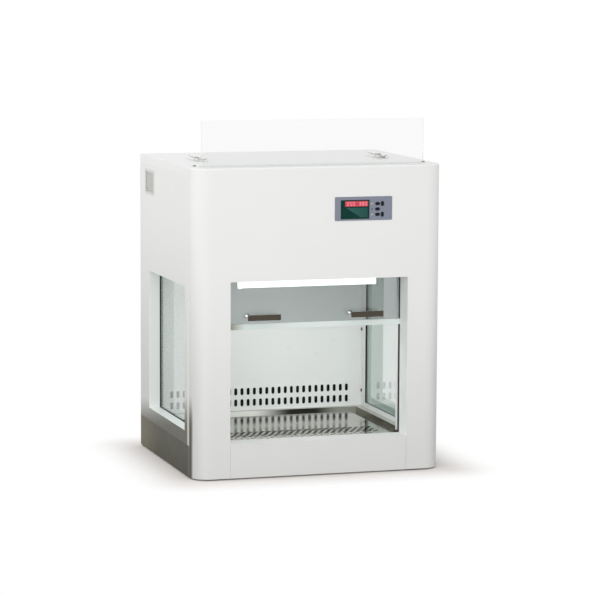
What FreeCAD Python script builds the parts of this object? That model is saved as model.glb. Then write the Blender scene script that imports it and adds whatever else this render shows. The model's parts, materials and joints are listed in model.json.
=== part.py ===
"""Bench-top vertical laminar flow cabinet, in millimetres.

The origin lies on the bench under the middle of the cabinet: X to the right, Y to the back, Z up.
A coated sheet-metal shell stands on a folded pan. Its front frame holds a clear sash in two guides,
its sides have deep window recesses, and its head holds the fan, the filter and the slotted ceiling.
"""
import FreeCAD, Part
import Sketcher
import math
import os
import re
from FreeCAD import Placement, Rotation, Vector

doc = FreeCAD.newDocument("LaminarFlowCabinet")

# Driving sizes
sizes = {
    "width": 540,
    "depth": 445,
    "body_height": 644,
    "sheet": 1.5,
    "fold": 12.5,
    "fit_gap": 0.3,
    # feet and base
    "foot_height": 3,
    "foot_radius": 15,
    "foot_side_inset": 32,
    "foot_front_inset": 80,
    "foot_back_inset": 36,
    "deck_height": 69,
    # front frame and sill
    "frame_depth": 47,
    "frame_lip": 28.5,
    "corner_radius": 38,
    "edge_radius": 3,
    "post_width": 78,
    "fascia_height": 233.5,
    "sill_rise": 5.5,
    # top covers
    "lid_skirt": 19,
    "lid_split": 214,
    "lid_gap": 0.5,
    "stiffener": 10,
    "slot_clearance": 3.5,
    "slot_width": 11,
    # side windows
    "window_front": 73,
    "window_back": 75,
    "window_rise": 27,
    "window_drop": 14.5,
    "recess_depth": 22.5,
    "seat_front": 9.5,
    "seat_back": 31,
    "seat_bottom": 19,
    "seat_top": 11,
    "gasket_depth": 11,
    "gasket_face": 3.5,
    "gasket_grip": 2,
    "glass": 4,
    "glass_recess": 3.5,
    "edging_width": 2,
    # pale strips over the side seams
    "trim_front": 37,
    "trim_width": 13,
    "trim_proud": 0.8,
    "trim_drop": 2.5,
    # tray and work surface
    "tray_sheet": 1,
    "tray_flange": 22,
    "tray_front": 62,
    "tray_back": 31,
    "tray_side": 16,
    "tray_depth": 24,
    "work_sink": 4,
    "work_side_gap": 28,
    "work_front": 75,
    "work_back": 75,
    "work_corner": 4,
    "hole_radius": 3,
    "hole_pitch": 22,
    "hole_margin": 15,
    "hole_first": 92,
    "finger_hole": 4.5,
    "finger_hole_inset": 10,
    "finger_hole_back": 236,
    # back liner
    "duct": 14,
    "liner_front": 60,
    "slot_radius": 3.6,
    "slot_straight": 8.8,
    "slot_pitch": 14.36,
    "slot_margin": 32,
    "slot_row_rise": 17,
    "slot_rise": 25,
    "liner_flange": 16,
    # sash and guides
    "pane": 5,
    "pane_lap": 48.5,
    "pane_height": 432,
    "sash_lap": 105.5,
    "sash_clearance": 0.4,
    "rail_sheet": 1,
    "rail_height": 11.5,
    "guide_sheet": 1.2,
    "guide_gap": 2.5,
    "guide_lap": 17,
    "guide_flange": 9.8,
    "guide_strip": 13,
    "guide_top_gap": 1.5,
    "stop_width": 18,
    "stop_height": 8,
    # sash handles
    "handle_inset": 80,
    "handle_rise": 27,
    "handle_length": 70,
    "handle_bar": 12.5,
    "handle_thick": 6,
    "handle_reach": 26,
    "handle_post": 3.5,
    "handle_post_inset": 5,
    "handle_rosette": 5.5,
    "rosette_thick": 1.6,
    "handle_soft": 0.8,
    "stud_radius": 2.4,
    "nut_radius": 5,
    "nut_height": 4,
    # control panel
    "panel_inset": 114.5,
    "panel_drop": 63.5,
    "panel_width": 124.8,
    "panel_height": 49.5,
    "panel_proud": 1,
    "panel_lap": 1.5,
    "panel_corner": 2,
    "display_inset": 12.6,
    "display_sill": 3.2,
    "display_width": 62.6,
    "display_height": 39.6,
    "display_set": 0.3,
    "display_glass": 1.4,
    "readout_inset": 9.6,
    "readout_width": 49.7,
    "readout_sill": 26,
    "readout_height": 11,
    "readout_thick": 1.2,
    "key_radius": 3.1,
    "key_straight": 3.8,
    "key_clearance": 0.2,
    "key_proud": 0.8,
    "key_collar": 0.9,
    "key_collar_thick": 1.2,
    "key_travel": 1,
    "key_column": 92.8,
    "key_row": 11.9,
    "key_step_across": 10.6,
    "key_step_up": 11.15,
    "lamp_column": 80.7,
    "indicator_radius": 1.5,
    "board_thick": 1.6,
    "box_depth": 33,
    "box_wall": 2,
    # lamp
    "tube_radius": 8,
    "tube_length": 294,
    "tube_cap": 3,
    "pin_radius": 1.2,
    "pin_length": 3,
    "pin_spread": 2.5,
    "tube_setback": 84,
    "tube_drop": 15.5,
    "holder_thick": 4,
    "holder_half": 8.5,
    "batten_depth": 6.5,
    "batten_half": 8,
    # air head
    "diffuser_front": 72,
    "diffuser_slot": 12,
    "diffuser_length": 62,
    "diffuser_pitch": 29,
    "diffuser_margin": 32,
    "diffuser_rows": 4,
    "filter_rise": 7,
    "filter_ledge": 16,
    "filter_height": 65,
    "filter_wall": 18,
    "pleat_count": 22,
    "pleat_sheet": 1.2,
    "media_gap": 2,
    "head_height": 144,
    "inlet_radius": 60,
    "inlet_flange": 90,
    "inlet_drop": 9,
    "inlet_flare": 6,
    "impeller_radius": 90,
    "impeller_height": 42,
    "impeller_gap": 2,
    "disc_sheet": 2,
    "hub_radius": 22,
    "hub_height": 24,
    "blade_root": 34,
    "blade_curve": 62,
    "blade_thick": 2,
    "blade_count": 9,
    "shroud_width": 26,
    "motor_radius": 44,
    "motor_height": 12,
    "shaft_radius": 6,
    "shaft_clearance": 0.05,
    "bracket_width": 60,
    "bracket_lip": 18,
    "bracket_gap": 1,
    # intake grilles
    "grille_back": 45,
    "grille_length": 77,
    "grille_drop": 10,
    "grille_height": 53,
    "grille_border": 4,
    "grille_slot": 1.8,
    "grille_pitch": 3.6,
    # power inlet
    "socket_inset": 70,
    "socket_drop": 27,
    "inlet_width": 28,
    "inlet_height": 22,
    "inlet_rim": 10,
    "inlet_proud": 1.8,
    "inlet_body": 27,
    "inlet_wall": 2,
    "inlet_socket": 16,
    "contact_drop": 1,
    # top latches
    "latch_inset": 69.5,
    "latch_setback": 14,
    "latch_plate": 1.2,
    "latch_half": 11,
    "latch_plate_length": 54,
    "latch_plate_front": 11,
    "pivot_rise": 4,
    "pivot_offset": 4,
    "pivot_pin": 1.25,
    "pin_clearance": 0.05,
    "lever_half": 6.5,
    "lever_sheet": 1.2,
    "lever_length": 52,
    "lever_rise": 2.8,
    "lever_nose": 2.4,
    "ear_gap": 0.4,
    "ear_sheet": 0.8,
    "ear_radius": 2.3,
    "bail_radius": 1.25,
    "bail_gap": 0.35,
    "bail_length": 39.5,
    "catch_length": 16,
    "catch_height": 6,
    # screws
    "screw_radius": 2,
    "screw_head": 3.5,
    "screw_head_height": 1.8,
    "screw_length": 8,
    "screw_clearance": 0.2,
    "rear_screw_inset": 8,
    "rear_screw_rise": 31,
    "rear_screw_drop": 39,
    "top_screw_inset": 21,
    "top_screw_back": 73,
    "liner_screw_inset": 5,
    "liner_screw_rise": 34.6,
    "liner_screw_drop": 29.1,
}

sheet = doc.addObject("Spreadsheet::Sheet", "Sizes")
for row, (alias, number) in enumerate(sizes.items(), 1):
    sheet.set("A%d" % row, alias)
    sheet.set("B%d" % row, str(number))
    sheet.setAlias("B%d" % row, alias)
doc.recompute()

# Places that several pieces share, each worked out from the driving sizes
places = {
    "front": "-depth/2",
    "back": "depth/2",
    "side": "width/2",
    "skirt": "body_height - lid_skirt",
    "seam": "front + frame_depth",
    "jamb": "side - post_width",
    "sill_height": "deck_height + sill_rise",
    "opening_top": "body_height - fascia_height",
    "trim_top": "opening_top - trim_drop",
    # windows
    "lip_in": "side - recess_depth - sheet",
    "wall": "lip_in - gasket_depth",
    "wall_out": "wall + sheet",
    "window_bottom": "deck_height + window_rise",
    "window_top": "opening_top - window_drop",
    "win_front": "front + window_front",
    "win_back": "back - window_back",
    "rim_front": "win_front - seat_front",
    "rim_back": "win_back + seat_back",
    "rim_bottom": "window_bottom - seat_bottom",
    "rim_top": "window_top + seat_top",
    "glass_in": "wall + glass_recess",
    # tray
    "tray_top": "deck_height + tray_sheet",
    "well_half": "wall - tray_side",
    "well_front": "front + tray_front",
    "well_back": "back - tray_back",
    "well_floor": "tray_top - tray_depth",
    "work_top": "tray_top - work_sink",
    "work_half": "well_half - work_side_gap",
    "hole_count": "floor(2*(work_half - hole_margin)/hole_pitch)",
    # back liner and ceiling
    "liner_back": "back - sheet - duct",
    "liner_face": "liner_back - sheet",
    "slot_row": "tray_top + slot_row_rise",
    "slot_count": "(floor(2*(wall - slot_margin)/slot_pitch) + 1)",
    "ceiling_front": "front + diffuser_front",
    "ceiling_top": "opening_top + sheet",
    "ledge_top": "ceiling_top + filter_rise",
    "head_top": "ceiling_top + head_height",
    "head_middle": "(ceiling_front + liner_back)/2",
    "diffuser_count": "(floor(2*(wall - diffuser_margin)/diffuser_pitch) + 1)",
    # sash
    "sash_rest": "opening_top - sash_lap",
    "pane_half": "jamb + pane_lap",
    "slot_half": "pane_half + slot_clearance",
    "handle_place": "jamb - handle_inset",
    "pane_front": "seam + guide_sheet + sash_clearance",
    "pane_back": "pane_front + pane",
    "slot_back": "seam + slot_width",
    "web": "pane_half + guide_gap",
    "guide_edge": "web - guide_lap",
    "strip_back": "slot_back + guide_strip",
    # panel
    "panel_left": "side - panel_inset - panel_width",
    "panel_bottom": "body_height - panel_drop - panel_height",
    "panel_inner": "front + sheet",
    "board_face": "panel_inner + fit_gap + key_collar_thick + key_travel + fit_gap",
    # fan
    "bracket_base": "ledge_top + filter_height + bracket_gap",
    "motor_base": "bracket_base + sheet",
    "impeller_base": "motor_base + motor_height + impeller_gap",
    # lamp
    "tube_height": "opening_top - tube_drop",
    "tube_place": "front + tube_setback",
    # latch
    "ear_near": "lever_half + ear_gap",
    "bail_half": "ear_near + ear_sheet + bail_gap + bail_radius",
    "pivot_z": "body_height + latch_plate + pivot_rise",
    "pivot_y": "front + lid_split + latch_setback",
    "latch_place": "side - latch_inset",
    # intake grilles and power inlet
    "grille_front": "back - grille_back - grille_length",
    "grille_bottom": "skirt - grille_drop - grille_height",
    "grille_count": "floor((grille_height - 2*grille_border)/grille_pitch)",
    "inlet_x": "side - socket_inset",
    "inlet_z": "skirt - socket_drop",
    # screws
    "rear_screw_first": "deck_height + rear_screw_rise",
    "rear_screw_step": "(skirt - rear_screw_drop - rear_screw_first)/3",
    "liner_screw_first": "tray_top + liner_screw_rise",
    "liner_screw_step": "(opening_top - liner_screw_drop - liner_screw_first)/2",
    "top_screw_place": "side - top_screw_inset",
}


def link(text):
    """Writes out shared places and points size names at the sheet."""
    def swap(match):
        word = match.group()
        if word in sizes:
            return "Sizes." + word
        if word in places:
            return "(" + link(places[word]) + ")"
        return word
    return re.sub(r"[a-z][a-z_]+", swap, text)


def value(text):
    return float(sheet.evalExpression(link(text)))


def minus(text):
    return "-(%s)" % text


def band(hand, low, high):
    """The span from low to high on the right, or its mirror image on the left."""
    if hand == "right":
        return low, high
    return minus(high), minus(low)


# Sketch loops: each returns a function that draws itself, with its dimensions bound to the sheet

def pin_point(sketch, geometry, point, x, y):
    for kind, text in (("DistanceX", x), ("DistanceY", y)):
        index = sketch.addConstraint(Sketcher.Constraint(kind, -1, 1, geometry, point, value(text)))
        sketch.setExpression("Constraints[%d]" % index, link(text))


def bind(sketch, constraint, text):
    index = sketch.addConstraint(constraint)
    sketch.setExpression("Constraints[%d]" % index, link(text))


def outline(points, quarter_turns=None):
    """A closed outline, drawn anticlockwise.

    quarter_turns names the points from which the outline goes on along a quarter of a circle, each
    with the radius and the angle, in degrees, at which the quarter starts.
    """
    turns = quarter_turns or {}

    def draw(sketch):
        corners = [Vector(value(x), value(y), 0) for x, y in points]
        first = sketch.GeometryCount
        count = len(corners)
        for i, corner in enumerate(corners):
            if i in turns:
                radius, start = value(turns[i][0]), math.radians(turns[i][1])
                centre = corner - Vector(math.cos(start), math.sin(start), 0) * radius
                ring = Part.Circle(centre, Vector(0, 0, 1), radius)
                sketch.addGeometry(Part.ArcOfCircle(ring, start, start + math.pi / 2), False)
            else:
                sketch.addGeometry(Part.LineSegment(corner, corners[(i + 1) % count]), False)
        for i in range(count):
            following = first + (i + 1) % count
            sketch.addConstraint(Sketcher.Constraint("Coincident", first + i, 2, following, 1))
        for i, (x, y) in enumerate(points):
            pin_point(sketch, first + i, 1, x, y)
        for i, (radius, start) in turns.items():
            bind(sketch, Sketcher.Constraint("Radius", first + i, value(radius)), radius)
    return draw


def polygon(*points):
    return outline(points)


def rectangle(x_low, y_low, x_high, y_high):
    return polygon((x_low, y_low), (x_high, y_low), (x_high, y_high), (x_low, y_high))


def circle(x, y, radius):
    def draw(sketch):
        centre = Vector(value(x), value(y), 0)
        index = sketch.addGeometry(Part.Circle(centre, Vector(0, 0, 1), value(radius)), False)
        pin_point(sketch, index, 3, x, y)
        bind(sketch, Sketcher.Constraint("Radius", index, value(radius)), radius)
    return draw


def obround(x, y, radius, straight, level=False):
    """A slot: two half circles joined by two straight lines, upright or level."""
    def draw(sketch):
        turn = -math.pi / 2 if level else 0
        r, half = value(radius), value(straight) / 2
        aside = Vector(math.cos(turn), math.sin(turn), 0) * r
        along = Vector(-math.sin(turn), math.cos(turn), 0) * half
        middle, axis = Vector(value(x), value(y), 0), Vector(0, 0, 1)
        low, high = Part.Circle(middle - along, axis, r), Part.Circle(middle + along, axis, r)
        first = sketch.addGeometry(Part.ArcOfCircle(low, math.pi + turn, 2 * math.pi + turn), False)
        last = sketch.addGeometry(Part.ArcOfCircle(high, turn, math.pi + turn), False)
        right = sketch.addGeometry(Part.LineSegment(middle - along + aside, middle + along + aside), False)
        left = sketch.addGeometry(Part.LineSegment(middle + along - aside, middle - along - aside), False)
        for a, a_end, b, b_end in ((first, 2, right, 1), (right, 2, last, 1), (last, 2, left, 1),
                                   (left, 2, first, 1)):
            sketch.addConstraint(Sketcher.Constraint("Tangent", a, a_end, b, b_end))
        for arc, sign in ((first, "-"), (last, "+")):
            moved = "(%s) " + sign + " (%s)/2"
            if level:
                pin_point(sketch, arc, 3, moved % (x, straight), y)
            else:
                pin_point(sketch, arc, 3, x, moved % (y, straight))
        bind(sketch, Sketcher.Constraint("Radius", last, r), radius)
    return draw


# Features of a body

def body(name):
    made = doc.addObject("PartDesign::Body", name)
    made.Label = name
    return made


def sketch_on(owner, plane, level, loops):
    """A sketch parallel to an origin plane; level is the X, Y or Z at which it lies."""
    support = [f for f in owner.Origin.OriginFeatures if f.Role == plane + "_Plane"][0]
    sketch = owner.newObject("Sketcher::SketchObject", owner.Name + "_sketch")
    sketch.AttachmentSupport = (support, [""])
    sketch.MapMode = "FlatFace"
    offset = minus(level) if plane == "XZ" else level
    sketch.setExpression("AttachmentOffset.Base.z", link(offset))
    for loop in loops:
        loop(sketch)
    return sketch


def pad(owner, plane, level, length, *loops):
    """Adds material from level onwards: up on XY, to the right on YZ, to the front on XZ."""
    sketch = sketch_on(owner, plane, level, loops)
    made = owner.newObject("PartDesign::Pad", owner.Name + "_pad")
    made.Profile = sketch
    made.setExpression("Length", link(length))
    sketch.Visibility = False
    return made


def pocket(owner, plane, level, length, *loops):
    """Takes material away over the same stretch as pad would fill."""
    doc.recompute()
    before = owner.Shape.Volume
    sketch = sketch_on(owner, plane, level, loops)
    made = owner.newObject("PartDesign::Pocket", owner.Name + "_pocket")
    made.Profile = sketch
    made.Reversed = True
    made.setExpression("Length", link(length))
    doc.recompute()
    if not owner.Shape.Volume < before - 1e-6:
        raise RuntimeError(owner.Label + ": a pocket cut nothing")
    return made


def repeat(owner, feature, axis, pitch, count):
    """Copies a feature along a sketch axis, H_Axis or V_Axis."""
    pattern = owner.newObject("PartDesign::LinearPattern", owner.Name + "_pattern")
    pattern.Originals = [feature]
    pattern.Direction = (feature.Profile[0], [axis])
    pattern.setExpression("Length", link("(%s)*(%s - 1)" % (pitch, count)))
    pattern.setExpression("Occurrences", link(count))
    owner.Tip = pattern
    return pattern


def round_edges(owner, radius, chosen):
    doc.recompute()
    base = owner.Tip
    names = ["Edge%d" % i for i, edge in enumerate(base.Shape.Edges, 1) if chosen(edge)]
    if not names:
        raise RuntimeError(owner.Label + ": no edge to round")
    made = owner.newObject("PartDesign::Fillet", owner.Name + "_fillet")
    made.Base = (base, names)
    made.setExpression("Radius", link(radius))
    return made


# Two places closer than this are the same
SAME = 0.01


def lies_at(edge, x=None, y=None, z=None):
    """True where the middle of the edge's box has the given coordinates."""
    centre = edge.BoundBox.Center
    wanted = ((x, centre.x), (y, centre.y), (z, centre.z))
    return all(text is None or abs(value(text) - place) < SAME for text, place in wanted)


def upright(edge):
    box = edge.BoundBox
    return box.ZLength > SAME and box.XLength < SAME and box.YLength < SAME


def place(thing, x, y, z):
    for axis, text in (("x", x), ("y", y), ("z", z)):
        thing.setExpression("Placement.Base." + axis, link(text))


# Primitives and booleans

TURNS = {"x": Rotation(Vector(0, 1, 0), 90), "y": Rotation(Vector(1, 0, 0), -90), "z": Rotation()}


def block(name, x, y, z):
    """A box from three spans, each a pair of texts."""
    made = doc.addObject("Part::Box", name)
    for side_name, (low, high) in (("Length", x), ("Width", y), ("Height", z)):
        made.setExpression(side_name, link("(%s) - (%s)" % (high, low)))
    place(made, x[0], y[0], z[0])
    return made


def rod(name, axis, x, y, z, radius, length):
    """A cylinder that starts at a point and runs along an axis."""
    made = doc.addObject("Part::Cylinder", name)
    made.Placement = Placement(Vector(0, 0, 0), TURNS[axis])
    made.setExpression("Radius", link(radius))
    made.setExpression("Height", link(length))
    place(made, x, y, z)
    return made


def fuse(name, pieces):
    made = doc.addObject("Part::MultiFuse", name)
    made.Shapes = pieces
    made.Refine = True
    return made


def group(name, pieces):
    """Separate solids that share one node."""
    made = doc.addObject("Part::Compound", name)
    made.Links = pieces
    return made


nodes = []


def node(name, thing):
    thing.Label = name
    nodes.append(thing)
    return thing


HANDS = ("left", "right")
SIGNS = {"left": "-", "right": ""}


# Base

def make_base():
    outer = rectangle(minus("side"), "seam", "side", "back")
    base = body("base_frame")
    pad(base, "XY", "foot_height", "deck_height - foot_height", outer,
        rectangle(minus("side - sheet"), "seam + sheet", "side - sheet", "back - sheet"))
    pad(base, "XY", "foot_height", "sheet", outer)
    clear = "well_half + tray_sheet + sheet"
    pad(base, "XY", "deck_height - sheet", "sheet", outer,
        rectangle(minus(clear), "well_front - tray_sheet - sheet", clear, "well_back + tray_sheet + sheet"))
    node("base_frame", base)

    feet = []
    for sign in SIGNS.values():
        for y in ("front + foot_front_inset", "back - foot_back_inset"):
            feet.append(rod("foot", "z", sign + "(side - foot_side_inset)", y, "0", "foot_radius",
                            "foot_height"))
    node("rubber_feet", group("feet", feet))


# Front

def make_front_frame():
    frame = body("front_frame")
    pad(frame, "XY", "foot_height", "body_height - foot_height",
        rectangle(minus("side"), "front", "side", "seam"))
    round_edges(frame, "corner_radius", lambda e: upright(e) and lies_at(e, y="front"))
    round_edges(frame, "edge_radius",
                lambda e: lies_at(e, z="body_height") and not lies_at(e, y="seam"))
    lip_x, skin_x, lip_y, skin_y = "side - frame_lip", "side - sheet", "seam - sheet", "front + sheet"
    bend, turn_x, turn_y = "corner_radius - sheet", "side - corner_radius", "front + corner_radius"
    pocket(frame, "XY", "foot_height", "body_height - foot_height - sheet",
           outline([(minus(lip_x), "seam"), (minus(lip_x), lip_y), (minus(skin_x), lip_y),
                    (minus(skin_x), turn_y), (minus(turn_x), skin_y), (turn_x, skin_y),
                    (skin_x, turn_y), (skin_x, lip_y), (lip_x, lip_y), (lip_x, "seam")],
                   {3: (bend, 180), 5: (bend, 270)}))
    pocket(frame, "XZ", skin_y, "sheet", rectangle(minus("jamb"), "0", "jamb", "opening_top"))
    outer_x, outer_z = "jamb + sheet", "opening_top + sheet"
    pad(frame, "XZ", "seam", "frame_depth - sheet",
        polygon((minus(outer_x), "foot_height"), (minus("jamb"), "foot_height"),
                (minus("jamb"), "opening_top"), ("jamb", "opening_top"), ("jamb", "foot_height"),
                (outer_x, "foot_height"), (outer_x, outer_z), (minus(outer_x), outer_z)))
    pocket(frame, "XZ", skin_y, "sheet", panel_cutout("0"))
    node("front_frame", frame)


def make_front_sill():
    sill = body("front_sill_panel")
    low, top = "foot_height + sheet", "sill_height - sheet"
    pad(sill, "YZ", minus("jamb - fit_gap"), "2*(jamb - fit_gap)",
        polygon(("front", "foot_height"), ("seam", "foot_height"), ("seam", low),
                ("front + sheet", low), ("front + sheet", top), ("seam - sheet", top),
                ("seam - sheet", "deck_height"), ("seam", "deck_height"), ("seam", "sill_height"),
                ("front", "sill_height")))
    node("front_sill_panel", sill)


# Sides

def window_opening(grow="0"):
    return rectangle("win_front - (%s)" % grow, "window_bottom - (%s)" % grow,
                     "win_back + (%s)" % grow, "window_top + (%s)" % grow)


def window_seat(shrink="0"):
    return rectangle("rim_front + (%s)" % shrink, "rim_bottom + (%s)" % shrink,
                     "rim_back - (%s)" % shrink, "rim_top - (%s)" % shrink)


def rear_screw_heights():
    return ["rear_screw_first + %d*rear_screw_step" % i for i in range(4)]


def liner_screw_heights():
    return ["liner_screw_first + %d*liner_screw_step" % i for i in range(3)]


SCREW_HOLE = "screw_radius + screw_clearance"


def make_side(hand):
    panel = body(hand + "_side_panel")
    inner = "side - sheet"
    vent = rectangle("grille_front + grille_border", "grille_bottom + grille_border",
                     "grille_front + grille_length - grille_border",
                     "grille_bottom + grille_height - grille_border")
    skin = rectangle("seam", "deck_height", "back - sheet", "skirt")
    pad(panel, "YZ", band(hand, inner, "side")[0], "sheet", skin, window_opening(), vent)
    pad(panel, "YZ", band(hand, "lip_in", inner)[0], "recess_depth", window_opening("sheet"),
        window_opening())
    pad(panel, "YZ", band(hand, "lip_in", "lip_in + sheet")[0], "sheet", window_seat(),
        window_opening())
    fold_low, fold_high = band(hand, inner + " - fold", inner)
    pad(panel, "XY", "deck_height", "skirt - deck_height",
        rectangle(fold_low, "seam", fold_high, "seam + sheet"),
        rectangle(fold_low, "back - 2*sheet", fold_high, "back - sheet"))
    for level in ("deck_height", "skirt - sheet"):
        pad(panel, "XY", level, "sheet", rectangle(fold_low, "seam", fold_high, "back - sheet"))
    screw_x = SIGNS[hand] + "(side - rear_screw_inset)"
    pocket(panel, "XZ", "back - sheet", "sheet",
           *[circle(screw_x, z, SCREW_HOLE) for z in rear_screw_heights()])
    node(panel.Label, panel)

    trim = body(hand + "_edge_trim")
    low, high = band(hand, "side", "side + trim_proud")
    pad(trim, "YZ", low, "trim_proud",
        rectangle("front + trim_front", "deck_height", "front + trim_front + trim_width", "trim_top"))
    outer = high if hand == "right" else low
    round_edges(trim, "trim_proud/2", lambda e: upright(e) and lies_at(e, x=outer))
    node(trim.Label, trim)


def make_side_window(hand):
    gasket = body(hand + "_window_gasket")
    pad(gasket, "YZ", band(hand, "wall", "lip_in")[0], "gasket_depth", window_seat(),
        window_seat("gasket_face"))
    pocket(gasket, "YZ", band(hand, "glass_in", "glass_in + glass")[0], "glass",
           window_seat("gasket_face - gasket_grip"))
    node(gasket.Label, gasket)

    pane = body(hand + "_side_glass")
    pad(pane, "YZ", band(hand, "glass_in", "glass_in + glass")[0], "glass",
        window_seat("gasket_face - gasket_grip"))
    node(pane.Label, pane)

    liner = body(hand + "_side_liner")
    pad(liner, "YZ", band(hand, "wall", "wall_out")[0], "sheet",
        rectangle("front + liner_front", "tray_top", "liner_face", "opening_top"), window_seat(),
        *[circle("liner_face - liner_screw_inset", z, SCREW_HOLE) for z in liner_screw_heights()])
    node(liner.Label, liner)

    edging = body(hand + "_edging")
    pad(edging, "YZ", band(hand, "glass_in + glass", "lip_in")[0],
        "gasket_depth - glass_recess - glass", window_opening("edging_width"), window_opening())
    return edging


def make_back():
    liner = body("back_liner")
    edge = "wall_out + sheet"
    pad(liner, "XZ", "liner_back", "sheet", rectangle(minus(edge), "tray_top", edge, "opening_top"))
    row_start = minus("slot_pitch*(slot_count - 1)/2")
    slots = pocket(liner, "XZ", "liner_back", "sheet",
                   obround(row_start, "slot_row", "slot_radius", "slot_straight"),
                   obround(row_start, "slot_row + slot_rise", "slot_radius", "slot_straight"))
    repeat(liner, slots, "H_Axis", "slot_pitch", "slot_count")
    flanges = []
    for hand in HANDS:
        low, high = band(hand, "wall_out", edge)
        flanges.append(rectangle(low, "liner_face - liner_flange", high, "liner_face"))
    pad(liner, "XY", "tray_top", "opening_top - tray_top", *flanges)
    for hand in HANDS:
        pocket(liner, "YZ", band(hand, "wall_out", edge)[0], "sheet",
               *[circle("liner_face - liner_screw_inset", z, SCREW_HOLE)
                 for z in liner_screw_heights()])
    node("back_liner", liner)

    rear = body("rear_panel")
    holes = [circle(sign + "(side - rear_screw_inset)", z, SCREW_HOLE)
             for sign in SIGNS.values() for z in rear_screw_heights()]
    pad(rear, "XZ", "back", "sheet", rectangle(minus("side"), "deck_height", "side", "skirt"),
        inlet_outline("0"), *holes)
    node("rear_panel", rear)


# Top covers

def make_top():
    under = "body_height - sheet"
    split, inner = "front + lid_split", "side - sheet"
    top = body("top_panel")
    pad(top, "XY", under, "sheet",
        polygon((minus("side"), "seam"), (minus("slot_half"), "seam"),
                (minus("slot_half"), "slot_back"), ("slot_half", "slot_back"), ("slot_half", "seam"),
                ("side", "seam"), ("side", split), (minus("side"), split)),
        *[circle(sign + "top_screw_place", "front + top_screw_back", SCREW_HOLE)
          for sign in SIGNS.values()])
    pad(top, "XY", "skirt", "lid_skirt - sheet", rectangle(minus("side"), "seam", minus(inner), split),
        rectangle(inner, "seam", "side", split))
    pad(top, "XY", under + " - stiffener", "stiffener",
        rectangle(minus(inner), split + " - sheet", inner, split),
        rectangle(minus("guide_edge - fit_gap"), "slot_back", "guide_edge - fit_gap",
                  "slot_back + sheet"))
    round_edges(top, "sheet/2", lambda e: lies_at(e, x="side", z="body_height")
                or lies_at(e, x=minus("side"), z="body_height"))
    node("top_panel", top)

    start = split + " + lid_gap"
    lid = body("service_lid")
    pad(lid, "XY", under, "sheet", rectangle(minus("side"), start, "side", "back"))
    pad(lid, "XY", "skirt", "lid_skirt - sheet",
        polygon((minus("side"), start), (minus(inner), start), (minus(inner), "back - sheet"),
                (inner, "back - sheet"), (inner, start), ("side", start), ("side", "back"),
                (minus("side"), "back")))
    pad(lid, "XY", under + " - stiffener", "stiffener",
        rectangle(minus(inner), start, inner, start + " + sheet"))
    round_edges(lid, "sheet/2", lambda e: lies_at(e, x="side", z="body_height")
                or lies_at(e, x=minus("side"), z="body_height")
                or lies_at(e, y="back", z="body_height"))
    node("service_lid", lid)


# Sash and its guides

def make_guide(hand):
    guide = body(hand + "_sash_guide")
    s = SIGNS[hand]
    front_leg, web_out = "seam + guide_sheet", "web + guide_sheet"
    rear_leg = "slot_back + guide_sheet"
    channel = [("guide_edge", "seam"), (web_out + " + guide_flange", "seam"),
               (web_out + " + guide_flange", front_leg), (web_out, front_leg), (web_out, rear_leg),
               ("guide_edge", rear_leg), ("guide_edge", "slot_back"), ("web", "slot_back"),
               ("web", front_leg), ("guide_edge", front_leg)]
    strip = [("jamb", "slot_back"), ("guide_edge", "slot_back"), ("guide_edge", rear_leg),
             ("jamb + guide_sheet", rear_leg), ("jamb + guide_sheet", "strip_back - guide_sheet"),
             ("wall - fit_gap", "strip_back - guide_sheet"), ("wall - fit_gap", "strip_back"),
             ("jamb", "strip_back")]
    pad(guide, "XY", "tray_top", "body_height - sheet - guide_top_gap - tray_top",
        polygon(*[(s + "(%s)" % x, y) for x, y in channel]))
    pad(guide, "XY", "tray_top", "opening_top - tray_top",
        polygon(*[(s + "(%s)" % x, y) for x, y in strip]))
    node(guide.Label, guide)


def make_sash():
    blocks = []
    for hand in HANDS:
        x = band(hand, "jamb - stop_width/2", "jamb + stop_width/2")
        blocks.append(block("stop", x, ("seam + 2*tray_sheet", "slot_back - fit_gap"),
                            ("tray_top", "tray_top + stop_height")))
    node("sash_stops", group("stops", blocks))

    post = "handle_length/2 - handle_post_inset"
    grip_z = "sash_rest + handle_rise"
    holes = []
    for sign in SIGNS.values():
        for inner in ("-", "+"):
            holes.append(circle("%shandle_place %s (%s)" % (sign, inner, post), grip_z,
                                "stud_radius + screw_clearance"))
    pane = body("sash_pane")
    pad(pane, "XZ", "pane_back", "pane",
        rectangle(minus("pane_half"), "sash_rest + rail_sheet", "pane_half",
                  "sash_rest + rail_sheet + pane_height"), *holes)
    node("sash_pane", pane)

    rail = body("sash_bottom_rail")
    low, high = "sash_rest", "sash_rest + rail_height"
    pad(rail, "YZ", minus("guide_edge - 4*fit_gap"), "2*(guide_edge - 4*fit_gap)",
        polygon(("pane_front - rail_sheet", low), ("pane_back + rail_sheet", low),
                ("pane_back + rail_sheet", high), ("pane_back", high), ("pane_back", low + " + rail_sheet"),
                ("pane_front", low + " + rail_sheet"), ("pane_front", high),
                ("pane_front - rail_sheet", high)))
    node("sash_bottom_rail", rail)

    nuts = []
    for hand in HANDS:
        handle = make_handle(hand + "_sash_handle", post)
        place(handle, SIGNS[hand] + "handle_place", "pane_front", grip_z)
        node(handle.Label, handle)
        for inner in ("-", "+"):
            x = "%shandle_place %s (%s)" % (SIGNS[hand], inner, post)
            nuts.append(make_nut(x, grip_z))
    node("handle_nuts", group("nuts", nuts))


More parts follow.
